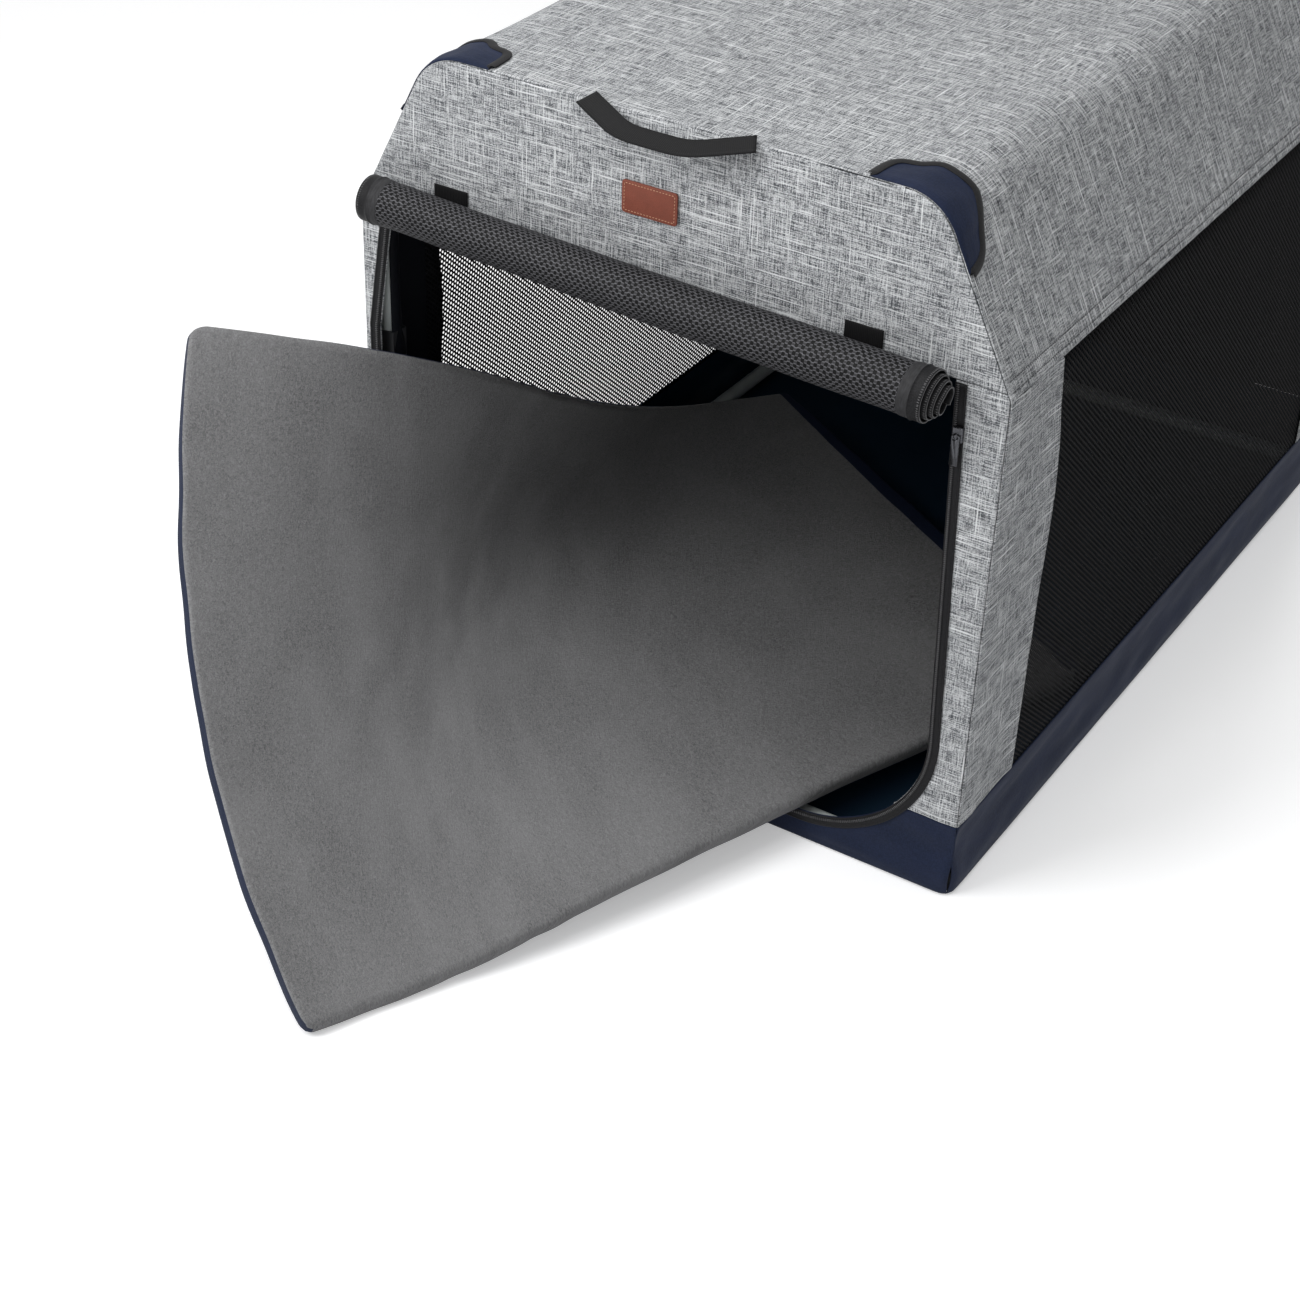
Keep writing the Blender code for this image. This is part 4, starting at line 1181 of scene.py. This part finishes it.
class CRATE_OT_nets(bpy.types.Operator):
    """Make the nets of the side windows and the rear window, and a black sheet of painted shade
    behind the rear one
    """

    bl_idname = "crate.nets"
    bl_label = "Window Nets"

    def execute(self, context):
        cover = context.scene.crate_cover
        behind, tuck = cover.cloth + 0.0006, 0.004
        low = BAND_Z - tuck
        high, half = SHOULDER_Z - 0.0008, HALF_L - cover.post + 0.017
        top, wide = SHOULDER_Z - 0.006 + tuck, HALF_W - cover.rear_margin + tuck

        def sheet(name, look, nodes, half, high, point, rests_on, flat=plain, held="stretched"):
            patch = (steps(-half, half, 0.02), steps(low, high, 0.02), point, flat)
            sewn(name, [patch], look, nodes, (2 * half, high - low), rests_on, held)

        def depth(a, b, half, high, side, seed):
            """How deep the net lies, a little slack between its edges."""
            bow = math.sin(math.pi * (a + half) / (2 * half))
            bow *= math.sin(math.pi * (b - low) / (high - low))
            return behind + 0.0004 * bow + ripple((a, b, side), (0.12,) * 3, 0.0002 * bow, seed)

        net = ("net net", 0.0004, "black_mesh")
        for side, word in SIDES:

            def point(a, b, side=side):
                return Vector((side * (HALF_W - depth(a, b, half, high, side, 3.3)), side * a, b))

            def flat(a, b, side=side):
                return (side * a, b)

            window, posts = f"side_window_{word}", f"side_cover_{word}"
            sheet(f"window_net_{word}", net, window, half, high, point, posts, flat)

        def shade_sheet_point(a, b):
            """A black sheet just behind the net, as painted shade for the dark inside, so that
            nothing light is seen through it.
            """
            folds = ripple((a, 0, b), (0.09, 1, 0.14), 0.0008, 9.4)
            return Vector((-a, HALF_L - behind - 0.0024 - folds, b))

        def rear_point(a, b):
            return Vector((-a, HALF_L - depth(a, b, wide, top, 0, 6.1), b))

        # A black sheet hung behind the rear net: painted shade standing for the dark inside
        shade_sheet_look = ("lining lining", 0.0006, "black_tape")
        sheet("rear_blind", shade_sheet_look, "", wide, top, shade_sheet_point, "window_net_rear", held="hung")
        sheet("window_net_rear", net, "rear_window", wide, top, rear_point, "rear_cover")
        return {"FINISHED"}


# How far the corner patch reaches back from the front edge, as a share of its whole reach, at
# distances along the roof's outline from the shoulder
PATCH_REACH = (
    (0.1040, 0.00),
    (0.1050, 0.15),
    (0.1085, 0.37),
    (0.1150, 0.52),
    (0.1265, 0.64),
    (0.1365, 0.745),
    (0.1465, 0.87),
    (0.1550, 0.955),
    (0.1650, 0.955),
    (0.1750, 0.943),
    (0.1835, 0.957),
    (0.1905, 0.905),
    (0.1980, 0.783),
    (0.2065, 0.742),
    (0.2130, 0.708),
    (0.2180, 0.585),
    (0.2200, 0.377),
    (0.2208, 0.130),
    (0.2212, 0.00),
)


def eased(count):
    """Shares from 0 to 1, close together at both ends."""
    return [(1 - math.cos(math.pi * i / count)) / 2 for i in range(count + 1)]


class CRATE_OT_corner_patches(bpy.types.Operator):
    """Make the four bound navy patches on the roof's corners"""

    bl_idname = "crate.corner_patches"
    bl_label = "Corner Patches"

    def execute(self, context):
        cover = context.scene.crate_cover
        line, reach = roof_line()
        start = corner_start(cover)
        low, high = PATCH_REACH[0][0], PATCH_REACH[-1][0]
        puff = 0.0016

        def deep(w):
            return cover.patch_reach * interpolate(PATCH_REACH, w)

        def surface(side, end, w, away, out):
            a = w if side < 0 else reach[-1] - w
            return on_roof(line, reach, a, end * (HALF_L - away), out - turn_in(away, cover.edge))

        places = [low + (high - low) * share for share in eased(60)]
        path = [Vector((w, max(start, deep(w)))) for w in places]
        for (end, end_word), (side, word) in product(ENDS, SIDES):
            name = f"{end_word}_{word}"

            def point(a, b, side=side, end=end):
                w = low + (high - low) * (a if side * end > 0 else 1 - a)
                w = min(max(w, low), high)
                away = start + max(GAP, deep(w) - start) * b
                inner = math.sin(math.pi * min(1, b)) * math.sin(math.pi * (w - low) / (high - low))
                folds = ripple((w, away, 3 * end + side), (0.013, 0.05, 1), 0.0022 * inner, 2.0)
                out = 0.0010 + puff * inner + max(folds, -puff * inner)
                return surface(side, end, w, away, out)

            def flat(a, b):
                return (low + (high - low) * a, 0.05 * b)

            rows = [i / 12 for i in range(13)]
            if end > 0:
                rows = [1 - r for r in reversed(rows)]
            patch = (eased(44), rows, point, flat)
            sheet = cloth(f"corner_patch_{name}", [patch], "navy navy", 0.0007, facing=(0, 0, 1))
            sink(fitted(sheet, "base", "navy_oxford"))
            self.binding(name, path, side, end, surface)
        return {"FINISHED"}

    def binding(self, name, path, side, end, surface):
        """The folded tape over the patch's curved edge."""
        reach = measured(path)
        half, thick = 0.0040, 0.0008

        def point(a, b):
            spot, ahead = on_path(path, reach, a)
            out = Vector((-ahead.y, ahead.x)) * b
            crown = 0.0009 * (1 - (b / half) ** 2)
            away = max(0.0012, spot.y + out.y)
            return surface(side, end, spot.x + out.x, away, 0.0017 + crown)

        rows = [half * r for r in (-1, -0.85, -0.5, 0, 0.5, 0.85, 1)]
        patch = (steps(0, reach[-1], 0.0030), rows, point, plain)
        tape = cloth(f"patch_binding_{name}", [patch], "tape tape", thick, facing=(0, 0, 1))
        return sink(fitted(tape, "base", "black_tape"))


# The door

# The zip tape lies just before the panel, and the roll before the straps. The angle is all
# that the door is wound round its core.
ZIP_BACK = -HALF_L - 0.0003
ROLL_Y = ZIP_BACK - 0.0016 - 0.0003 - ROLL_RADIUS
ROLL_ANGLE = (ROLL_RADIUS - 0.001 - ROLL_CORE) / ROLL_PITCH * math.tau
COIL_SPACING, COIL_OUT = 0.0018, 0.0019


class CRATE_OT_door_zip(bpy.types.Operator):
    """Make the open half of the zip round the door: its tape and its coil"""

    bl_idname = "crate.door_zip"
    bl_label = "Door Zip"

    def execute(self, context):
        door = context.scene.crate_door
        edge = door_edge()
        path = [p for p in edge if p.y < ZIP_TOP_Z]
        left, right = (Vector((crossing(edge, ZIP_TOP_Z, side), ZIP_TOP_Z)) for side in (-1, 1))
        path = [left, *path, right]
        reach = measured(path)

        def outside(spot, ahead, distance):
            """The point this far out from the opening's edge, hanging with the cloth."""
            place = spot + Vector((ahead.y, -ahead.x)) * distance
            return place.x + zip_hang(*place), place.y

        def point(a, b):
            spot, ahead = on_path(path, reach, a)
            ridge = 0.0009 * bell(b, door.tape - 0.0012, 0.0010)
            lift = 0.0011 + ridge + ripple((spot.x, 0, spot.y), (0.05, 1, 0.05), 0.0004, 1.1)
            x, z = outside(spot, ahead, b)
            return Vector((x, ZIP_BACK - lift, z))

        rows = [0.0002, 0.0010, 0.0030, 0.0055]
        rows += [door.tape - near for near in (0.0030, 0.0022, 0.0016, 0.0012, 0.0008, 0.0003, 0)]
        patch = (steps(0, reach[-1], 0.006), rows, point, plain)
        look, size = ("tape tape", 0.0009, "black_tape"), (door.tape, reach[-1] + 0.02)
        carried_by = "front_cover base_band_front"
        sewn("zip_tape", [patch], look, "door_zip_tape", size, carried_by, facing=(0, -1, 0))
        places = []
        for spot, ahead in spaced(path, door.tooth):
            x, z = outside(spot, ahead, 0.0030)
            across = Vector((ahead.y, 0, -ahead.x))
            places.append((Vector((x, ZIP_BACK - 0.0021, z)), across, Vector((0, -1, 0))))
        beads("zip_coil", places, (0.0030, 0.0011, 0.0014), "coil", "black_tape")
        return {"FINISHED"}


def roll_place(context, angle, share, out=0.0, past=0.0):
    """A point of the wound door: angle is wound from the core, share runs from its left end to
    its right, and past is metres beyond the right end."""
    door = context.scene.crate_door
    axis = (ROLL_RIGHT - ROLL_LEFT).normalized()
    up = axis.cross(Vector((0, 1, 0)))
    around = ROLL_TAIL + angle - ROLL_ANGLE
    inner = 1 - angle / ROLL_ANGLE
    flatten = 0.38 * inner * inner
    radius = ROLL_CORE + ROLL_PITCH * angle / math.tau
    radius *= 1 + flatten * math.cos(2 * (around - math.radians(50)))
    size = (door.left_radius + (door.right_radius - door.left_radius) * share) / ROLL_RADIUS
    loose = ripple((share * 0.53, around * 0.02, 0), (0.07, 0.03, 1), 0.0010, 4.0)
    radius = (radius + out) * size + loose * smooth(angle, ROLL_ANGLE * 0.6, ROLL_ANGLE)
    poke = ROLL_POKE * inner * smooth(share, 0.75, 1.0) - 0.004 * inner * smooth(share, 0.2, 0.0)
    centre = ROLL_LEFT.lerp(ROLL_RIGHT, share) + axis * (poke + past)
    sag = -0.0012 * math.sin(math.pi * share)
    turned = Vector((0, math.cos(around), 0)) + up * math.sin(around)
    return Vector((centre.x, ROLL_Y, centre.z + sag)) + radius * turned


class CRATE_OT_door_roll(bpy.types.Operator):
    """Make the rolled-up door: the mesh, its taped ends, the coils on them and the straps"""

    bl_idname = "crate.door_roll"
    bl_label = "Door Roll"

    def execute(self, context):
        door = context.scene.crate_door
        length = (ROLL_RIGHT - ROLL_LEFT).length
        count = round(ROLL_ANGLE / math.tau * 44)
        angles = [ROLL_ANGLE * i / count for i in range(count + 1)]

        def wound(angle):
            """The length of cloth wound up to this angle."""
            return ROLL_CORE * angle + ROLL_PITCH * angle * angle / (2 * math.tau)

        def point(a, b):
            edge = min(b, length - b)
            seam = 0.0009 * bell(edge, door.zip_half, 0.0008)
            return roll_place(
                context, a, b / length, seam + 0.0006 * smooth(door.band - edge, 0, 0.001)
            )

        def flat(a, b):
            return (b, wound(a))

        def which(a, b):
            edge = min(b, length - b)
            return 2 if edge < door.zip_half else 1 if edge < door.band else 0

        ends = (0, 0.0015, 0.004, 0.007, 0.0090, 0.0098, 0.0105, 0.0112, 0.0120, 0.015, 0.019)
        ends += (0.0205, 0.0215, 0.025)
        roll = sewn(
            "rolled_door",
            [(angles, steps(0, length, 0.0085, ends, ends), point, flat)],
            # The last finish is the pale painted highlight on the rims of the taped ends
            ("air_mesh band tape worn_edge", 0, "black_mesh"),
            "door_roll",
            (length, wound(ROLL_ANGLE)),
            "roll_strap_left roll_strap_right",
            "folded",
            lower=ROLL_SINKS,
            which=which,
        )
        wall = roll.modifiers.new("mesh thickness", "SOLIDIFY")
        wall.thickness = 0.0013
        wall.offset = 0
        # Each rim takes the finish after its face's: the band on the mesh's rims, and the pale
        # painted edge highlight on the zip tape's rims
        wall.material_offset_rim = 1
        places, distance = [], 0.0
        for i in range(count * 3):
            angle = ROLL_ANGLE * i / (count * 3)
            if wound(angle) < distance:
                continue
            distance += COIL_SPACING
            for share, past in ((1.0, -COIL_OUT), (0.0, COIL_OUT)):
                here = roll_place(context, angle, share, 0.0009, past)
                there = roll_place(context, angle + 0.02, share, 0.0009, past)
                outward = roll_place(context, angle, share, 0.0019, past) - here
                places.append((here, (there - here).cross(outward), outward))
        size = (0.0030, 0.0010, 0.0012)
        beads("roll_coils", places, size, "coil", "black_tape")
        self.straps()
        return {"FINISHED"}

    def straps(self):
        """The flat hook-and-loop tabs behind the roll."""
        for _, word in SIDES:
            low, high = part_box(f"roll_strap_{word}")

            def point(a, b, low=low, high=high):
                edge = min(a - low.x, high.x - a, high.z - b)
                return Vector((a, low.y + 0.0003 * (1 - smooth(edge, 0, 0.002)), b))

            fine = (0, 0.0006, 0.0012, 0.0022)
            columns = steps(low.x, high.x, 0.004, fine, fine)
            rows = steps(low.z, high.z, 0.004, fine, fine)
            patch, size = (columns, rows, point, plain), (high.x - low.x, high.z - low.z)
            look = ("webbing webbing", high.y - low.y - 0.0006, "black_tape")
            sewn(f"strap_{word}", [patch], look, f"roll_strap_{word}", size, "front_cover", "hung")


class CRATE_OT_label(bpy.types.Operator):
    """Make the bare leather label and its stitches"""

    bl_idname = "crate.label"
    bl_label = "Leather Label"

    def execute(self, context):
        low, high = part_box("leather_label")
        size, centre = high - low, (low + high) / 2
        bm = bmesh.new()
        bmesh.ops.create_cube(bm, size=1)
        bmesh.ops.scale(bm, vec=size, verts=bm.verts)
        for upright, offset, segments in ((True, 0.003, 5), (False, 0.0004, 2)):
            rises = {e: abs((e.verts[0].co - e.verts[1].co).y) for e in bm.edges}
            edges = [e for e, rise in rises.items() if (rise > 1e-5) == upright]
            bmesh.ops.bevel(
                bm,
                geom=edges,
                offset=offset,
                segments=segments,
                profile=0.5,
                affect="EDGES",
                material=-1,
            )
        bmesh.ops.translate(bm, vec=centre, verts=bm.verts)
        label = piece("leather_patch", bm, "leather", 30)
        sink(fitted(label, "base", "leather", "leather_label"))
        inset = 0.0024
        half_x, half_z = size.x / 2 - inset, size.z / 2 - inset
        corners = [(0, -half_z), (half_x, -half_z), (half_x, half_z), (-half_x, half_z)]
        corners += [(-half_x, -half_z), (0, -half_z)]
        places = []
        for spot, ahead in spaced(rounded(corners, (0.0015,) * 4, 3), 0.0029):
            point = Vector((centre.x + spot.x, low.y - 0.0001, centre.z + spot.y))
            places.append((point, Vector((ahead.x, 0, ahead.y)), Vector((0, -1, 0))))
        beads("label_stitches", places, (0.0021, 0.0008, 0.0008), "tan_thread", "leather")
        return {"FINISHED"}


class CRATE_OT_handle(bpy.types.Operator):
    """Make the webbing grab handle"""

    bl_idname = "crate.handle"
    bl_label = "Grab Handle"

    def execute(self, context):
        half = 0.010
        top = HANDLE_HALF - HANDLE_LEAN
        line = [(-HANDLE_HALF, 0), (-top, HANDLE_REACH), (top, HANDLE_REACH), (HANDLE_HALF, 0)]
        path = rounded(line, (HANDLE_BEND, HANDLE_BEND), 12)
        reach = measured(path)
        pivot = Vector((0, -HALF_L - HANDLE_PIVOT, HEIGHT + HANDLE_PIVOT))
        turn = Matrix.Rotation(math.pi + HANDLE_DROOP, 4, "X")

        def point(a, b):
            spot, ahead = on_path(path, reach, a)
            out = Vector((-ahead.y, ahead.x)) * b
            bow = 0.0010 * math.sin(math.pi * a / reach[-1])
            crown = 0.0011 * (1 - max(0, abs(b) / half - 0.86) / 0.14)
            place = Vector((spot.x + out.x, spot.y + out.y, crown - 0.0002 + bow))
            return pivot + turn @ place

        rows = [half * r for r in (-1, -0.96, -0.86, -0.5, 0, 0.5, 0.86, 0.96, 1)]
        patch = (steps(0.0006, reach[-1] - 0.0006, 0.003), rows, point, plain)
        band = cloth("grab_handle", [patch], "webbing webbing", 0.0019)
        fitted(band, "handle", "black_tape", "handle")
        return {"FINISHED"}


# The frame and the small metal parts


class CRATE_OT_frame(bpy.types.Operator):
    """Make the powder-coated tubes, and finish the moulded corners, knees, sleeves and pins"""

    bl_idname = "crate.frame"
    bl_label = "Steel Frame"

    def execute(self, context):
        for name in frame["nodes"]:
            if name.startswith(("base_rail", "leg_front", "leg_rear", "top_rail")):
                self.straight(name)
            elif name.startswith("hoop"):
                self.hoop(name)
            elif name.startswith(("corner_bracket", "knee_lower", "knee_upper", "rail_sleeve")):
                self.finish(name, "plastic")
            elif name.startswith(("leg_pin", "knee_pin")):
                self.finish(name, "pin")
            elif name.startswith("zip_"):
                self.plated(name)
        return {"FINISHED"}

    def plated(self, name):
        """The slider or its pull: the cast shape with its edges broken, riding on the body of the
        part that it stands for, with its own copy of its mesh."""
        node = frame["nodes"][name]
        bm = bmesh.new()
        bm.from_mesh(node.data)
        bmesh.ops.transform(bm, matrix=node.matrix_world, verts=bm.verts)
        bmesh.ops.remove_doubles(bm, verts=bm.verts, dist=0.00001)
        sharp = [e for e in bm.edges if len(e.link_faces) == 2 and e.calc_face_angle() > 0.5]
        bmesh.ops.bevel(bm, geom=sharp, offset=0.00035, segments=2, affect="EDGES")
        made = piece(f"{name}_plated", bm, "nickel", 50)
        sink(fitted(made, node["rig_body"], "nickel", name))

    def finish(self, name, word):
        node = frame["nodes"][name]
        node.data.materials.clear()
        node.data.materials.append(FINISHES[word])

    def tube(self, name, points, radius):
        made = swept(f"{name}_tube", points, radius, "steel")
        fitted(made, frame["nodes"][name]["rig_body"], "grey_steel", name)

    def straight(self, name):
        low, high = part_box(name)
        size, centre = high - low, (low + high) / 2
        axis = max(range(3), key=lambda i: size[i])
        start, end = centre.copy(), centre.copy()
        start[axis], end[axis] = low[axis], high[axis]
        self.tube(name, [start, end], min(size) / 2)

    def hoop(self, name):
        low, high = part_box(name)
        y = (low.y + high.y) / 2
        line = [(HALF_W, 0), (HALF_W, SHOULDER_Z), (ROOF_HALF, HEIGHT), (0, HEIGHT)]
        line = offset(line, HOOP_INSET)
        line[0].y = low.z
        half = rounded(line, (SHOULDER_BEND, ROOF_RADIUS - HOOP_INSET), 12)
        path = [*half[:-1], *[Vector((-p.x, p.y)) for p in reversed(half)][1:]]
        self.tube(name, [(p.x, y, p.y) for p in path], (high.y - low.y) / 2)


# The mat


def mat_surface(across, along):
    rows = ((MAT_NEAR, HALF_W, -1), (MAT_MIDDLE, 0, 1), (MAT_FAR, -HALF_W, 1))
    u, v = across, along
    a = ((1 - u) ** 2, 2 * u * (1 - u), u * u)
    b = ((1 - v) ** 3, 3 * v * (1 - v) ** 2, 3 * v * v * (1 - v), v**3)
    total = Vector((0, 0, MAT_THICK / 2))
    for share, (row, side, inward) in zip(a, rows, strict=True):
        for weight, (x, y, z) in zip(b, row, strict=True):
            place = Vector((side + inward * x, -HALF_L + y * 2 * HALF_L, z))
            total += place * share * weight
    return total


def mat_place(across, along, height):
    """A point this high over the mat's middle; across and along run from 0 to 1."""
    step = 0.01
    du = mat_surface(across + step, along) - mat_surface(across - step, along)
    dv = mat_surface(across, along + step) - mat_surface(across, along - step)
    return mat_surface(across, along) + dv.cross(du).normalized() * height


class CRATE_OT_mat(bpy.types.Operator):
    """Make the padded mat that is pulled half out of the door"""

    bl_idname = "crate.mat"
    bl_label = "Mat"

    def execute(self, context):
        mat = context.scene.crate_mat
        fine = (0, 0.0003, 0.0010, 0.0021, 0.0036, 0.0052, 0.0068, 0.0100, 0.0150)
        width, length = mat.width, mat.length
        bottom = MAT_THICK / 2
        hem = 0.010  # the navy binding over the far end

        def height(s, t, top):
            away = min(s, width - s, t, length - t)
            if not top:
                return -bottom + 0.0020 * (1 - smooth(away, 0, 0.030)) + turn_in(away, 0.0015)
            crown = 16 * s * (width - s) * t * (length - t) / (width * length) ** 2
            soft = ripple((s, t, 0), (0.085, 0.110, 1), 0.0022, 6.6)
            soft += ripple((s, t, 0), (0.030, 0.040, 1), 0.0007, 1.6)
            full = bottom + mat.crown * crown + soft * smooth(away, 0, 0.03)
            drop = turn_in(min(s, width - s), mat.round)
            return full - min(mat.round, drop + turn_in(min(t, length - t), mat.end_round))

        def rounded_corner(s, t):
            """Draws the corners in from the square to the mat's corner radius."""
            in_s, in_t = min(s, width - s), min(t, length - t)
            r = mat.corner
            if in_s >= r or in_t >= r:
                return s, t
            x, y = (r - in_s) / r, (r - in_t) / r
            x, y = x * math.sqrt(1 - y * y / 2), y * math.sqrt(1 - x * x / 2)
            in_s, in_t = r - x * r, r - y * r
            s = in_s if s < width / 2 else width - in_s
            t = in_t if t < length / 2 else length - in_t
            return s, t

        def drawn_in(s, t):
            """The hem isn't quite straight: it is drawn in a little between its stitches."""
            away = min(s, width - s, t, length - t)
            pull = 0.0015 * (1 - smooth(away, 0, 0.02))
            wave = noise.noise(Vector((s / 0.05, t / 0.05, 8.8)))
            toward = Vector((width / 2 - s, length / 2 - t)).normalized()
            return s + toward.x * pull * (1 + wave), t + toward.y * pull * (1 + wave)

        def place(s, t, top):
            x, y = drawn_in(*rounded_corner(s, t))
            return mat_place(x / width, y / length, height(s, t, top))

        bm = bmesh.new()
        uv = bm.loops.layers.uv.new("cloth")
        across, along = (steps(0, size, 0.0075, fine, fine) for size in (width, length))
        placed = bm.verts.layers.float_vector.new("placed")
        loops = []
        for side in (1, -1):
            made = gridded(bm, across, along)
            for vert, (s, t) in made.items():
                vert[placed] = (s, t, side)
                vert.co = place(s, t, side > 0)
            loops += [e for e in bm.edges if e.is_boundary and e.verts[0] in made]
        wall = bmesh.ops.bridge_loops(bm, edges=loops)["faces"]
        upright = {e for f in wall for e in f.edges} - set(loops)
        bmesh.ops.subdivide_edges(bm, edges=list(upright), cuts=2)
        for face in bm.faces:
            spots = [v[placed] for v in face.verts]
            s, t, side = (sum(spot[i] for spot in spots) / len(spots) for i in range(3))
            rolled = side > -0.99 and s < mat.round and mat.round < t < length - mat.round
            pile = rolled or (side > 0.99 and t < length - hem)
            face.material_index = 0 if pile else 1
            for loop in face.loops:
                s, t, side = loop.vert[placed]
                loop[uv].uv = (s, t + (1 - side) * bottom)
        bm.verts.layers.float_vector.remove(placed)
        bmesh.ops.recalc_face_normals(bm, faces=bm.faces)
        pad = piece("padded_mat", bm, "fleece navy", 60)
        sink(fitted(pad, "base", "fleece", "mat"))
        return {"FINISHED"}


# Stitches


class CRATE_OT_stitching(bpy.types.Operator):
    """Sew the visible lines of stitches on the cover"""

    bl_idname = "crate.stitching"
    bl_label = "Stitching"

    def execute(self, context):
        line, reach = roof_line()
        pitch, size = 0.0032, (0.0024, 0.0007, 0.0006)
        for side, word in SIDES:
            places = []
            for stitch in ROOF_STITCHES:
                a = stitch if side < 0 else reach[-1] - stitch
                count = int((2 * HALF_L - 0.012) / pitch)
                for i in range(count):
                    y = -HALF_L + 0.006 + pitch * (i + 0.5)
                    point = on_roof(line, reach, a, y, -0.0001)
                    out = on_roof(line, reach, a, y, 0.001) - point
                    places.append((point, Vector((0, 1, 0)), out))
            beads(f"shoulder_stitches_{word}", places, size, "dark_thread", "grey_oxford")
        return {"FINISHED"}


# The stage

# The strength of the light all round, and what the floor adds so that it is seen as white
AROUND, FLOOR_GLOW = 0.28, 0.36

# The photograph's focal length and width in its own pixels, where it was taken from, and its
# azimuth, elevation and roll in degrees
FOCAL, PHOTO_WIDTH, SENSOR = 2508, 1300, 36
CAMERA_PLACE = (0.950, -2.021, 1.398)
CAMERA_ANGLES = (31.28, 34.50, 2.14)

# The lamps: where each hangs, what it shines on, its size in metres and its power in watts
LAMPS = {
    "key": ((-0.85, -1.85, 1.6), (0.0, -0.6, 0.2), 1.0, 23),
    "top": ((-0.15, -0.8, 3.2), (0.0, -0.3, 0.3), 2.4, 50),
    "fill": ((0.7, -2.5, 1.8), (-0.1, -0.7, 0.1), 1.6, 8),
}


class CRATE_OT_stage(bpy.types.Operator):
    """Set the pale floor, the soft studio lights and the camera"""

    bl_idname = "crate.stage"
    bl_label = "Stage"

    def execute(self, context):
        bm = bmesh.new()
        bmesh.ops.create_grid(bm, x_segments=1, y_segments=1, size=30)
        floor = piece("studio_floor", bm, "studio")
        floor.location.z = -0.0005
        scene = context.scene
        world = bpy.data.worlds.new("studio")
        scene.world = world
        world.use_nodes = True
        back = world.node_tree.nodes["Background"]
        back.inputs["Color"].default_value = (1, 1, 1, 1)
        node = partial(add_node, world.node_tree)
        level = node("MapRange", seen(node), 0, 1, AROUND, 1.0)
        world.node_tree.links.new(level, back.inputs["Strength"])
        for name, values in LAMPS.items():
            self.lamp(name, *values)
        self.camera(scene)
        scene.view_settings.view_transform = "Standard"
        return {"FINISHED"}

    def lamp(self, name, place, target, size, power):
        data = bpy.data.lights.new(name, "AREA")
        data.energy = power
        data.size = size
        lamp = bpy.data.objects.new(name, data)
        lamp.location = place
        aim = Vector(target) - Vector(place)
        lamp.rotation_euler = aim.to_track_quat("-Z", "Y").to_euler()
        bpy.context.scene.collection.objects.link(lamp)

    def camera(self, scene):
        """The photograph's view: from the front right, above the roof."""
        azimuth, elevation, roll = (math.radians(angle) for angle in CAMERA_ANGLES)
        level = math.cos(elevation)
        ahead = Vector((-math.sin(azimuth), math.cos(azimuth), 0)) * level
        ahead.z = -math.sin(elevation)
        data = bpy.data.cameras.new("camera")
        data.sensor_width = SENSOR
        data.lens = SENSOR * FOCAL / PHOTO_WIDTH
        data.clip_start = 0.05
        camera = bpy.data.objects.new("camera", data)
        turn = ahead.to_track_quat("-Z", "Y").to_matrix() @ Matrix.Rotation(roll, 3, "Z")
        camera.matrix_world = Matrix.Translation(CAMERA_PLACE) @ turn.to_4x4()
        scene.collection.objects.link(camera)
        scene.camera = camera


OPERATORS = (
    CRATE_OT_frame,
    CRATE_OT_base_bands,
    CRATE_OT_front_cover,
    CRATE_OT_side_covers,
    CRATE_OT_leg_casings,
    CRATE_OT_rear_cover,
    CRATE_OT_roof_cover,
    CRATE_OT_nets,
    CRATE_OT_corner_patches,
    CRATE_OT_door_zip,
    CRATE_OT_door_roll,
    CRATE_OT_label,
    CRATE_OT_handle,
    CRATE_OT_mat,
    CRATE_OT_stitching,
    CRATE_OT_stage,
)


class CRATE_PT_sidebar(bpy.types.Panel):
    """The crate's pieces, in the order in which they are made"""

    bl_idname = "CRATE_PT_sidebar"
    bl_label = "Dog Crate"
    bl_space_type = "VIEW_3D"
    bl_region_type = "UI"
    bl_category = "Dog Crate"

    def draw(self, context):
        layout = self.layout
        for name, group in PROPERTY_GROUPS.items():
            box = layout.box()
            for key in group.__annotations__:
                box.prop(getattr(context.scene, name), key)
        for operator in OPERATORS:
            layout.operator(operator.bl_idname)


def register():
    for name, group in PROPERTY_GROUPS.items():
        bpy.utils.register_class(group)
        setattr(bpy.types.Scene, name, bpy.props.PointerProperty(type=group))
    for operator in OPERATORS:
        bpy.utils.register_class(operator)
    bpy.utils.register_class(CRATE_PT_sidebar)


def unregister():
    bpy.utils.unregister_class(CRATE_PT_sidebar)
    for operator in reversed(OPERATORS):
        bpy.utils.unregister_class(operator)
    for name, group in PROPERTY_GROUPS.items():
        delattr(bpy.types.Scene, name)
        bpy.utils.unregister_class(group)


def main():
    register()
    make_finishes(bpy.context.scene.crate_colours)
    for operator in OPERATORS:
        group, name = operator.bl_idname.split(".")
        getattr(getattr(bpy.ops, group), name)()


if __name__ == "__main__":
    main()
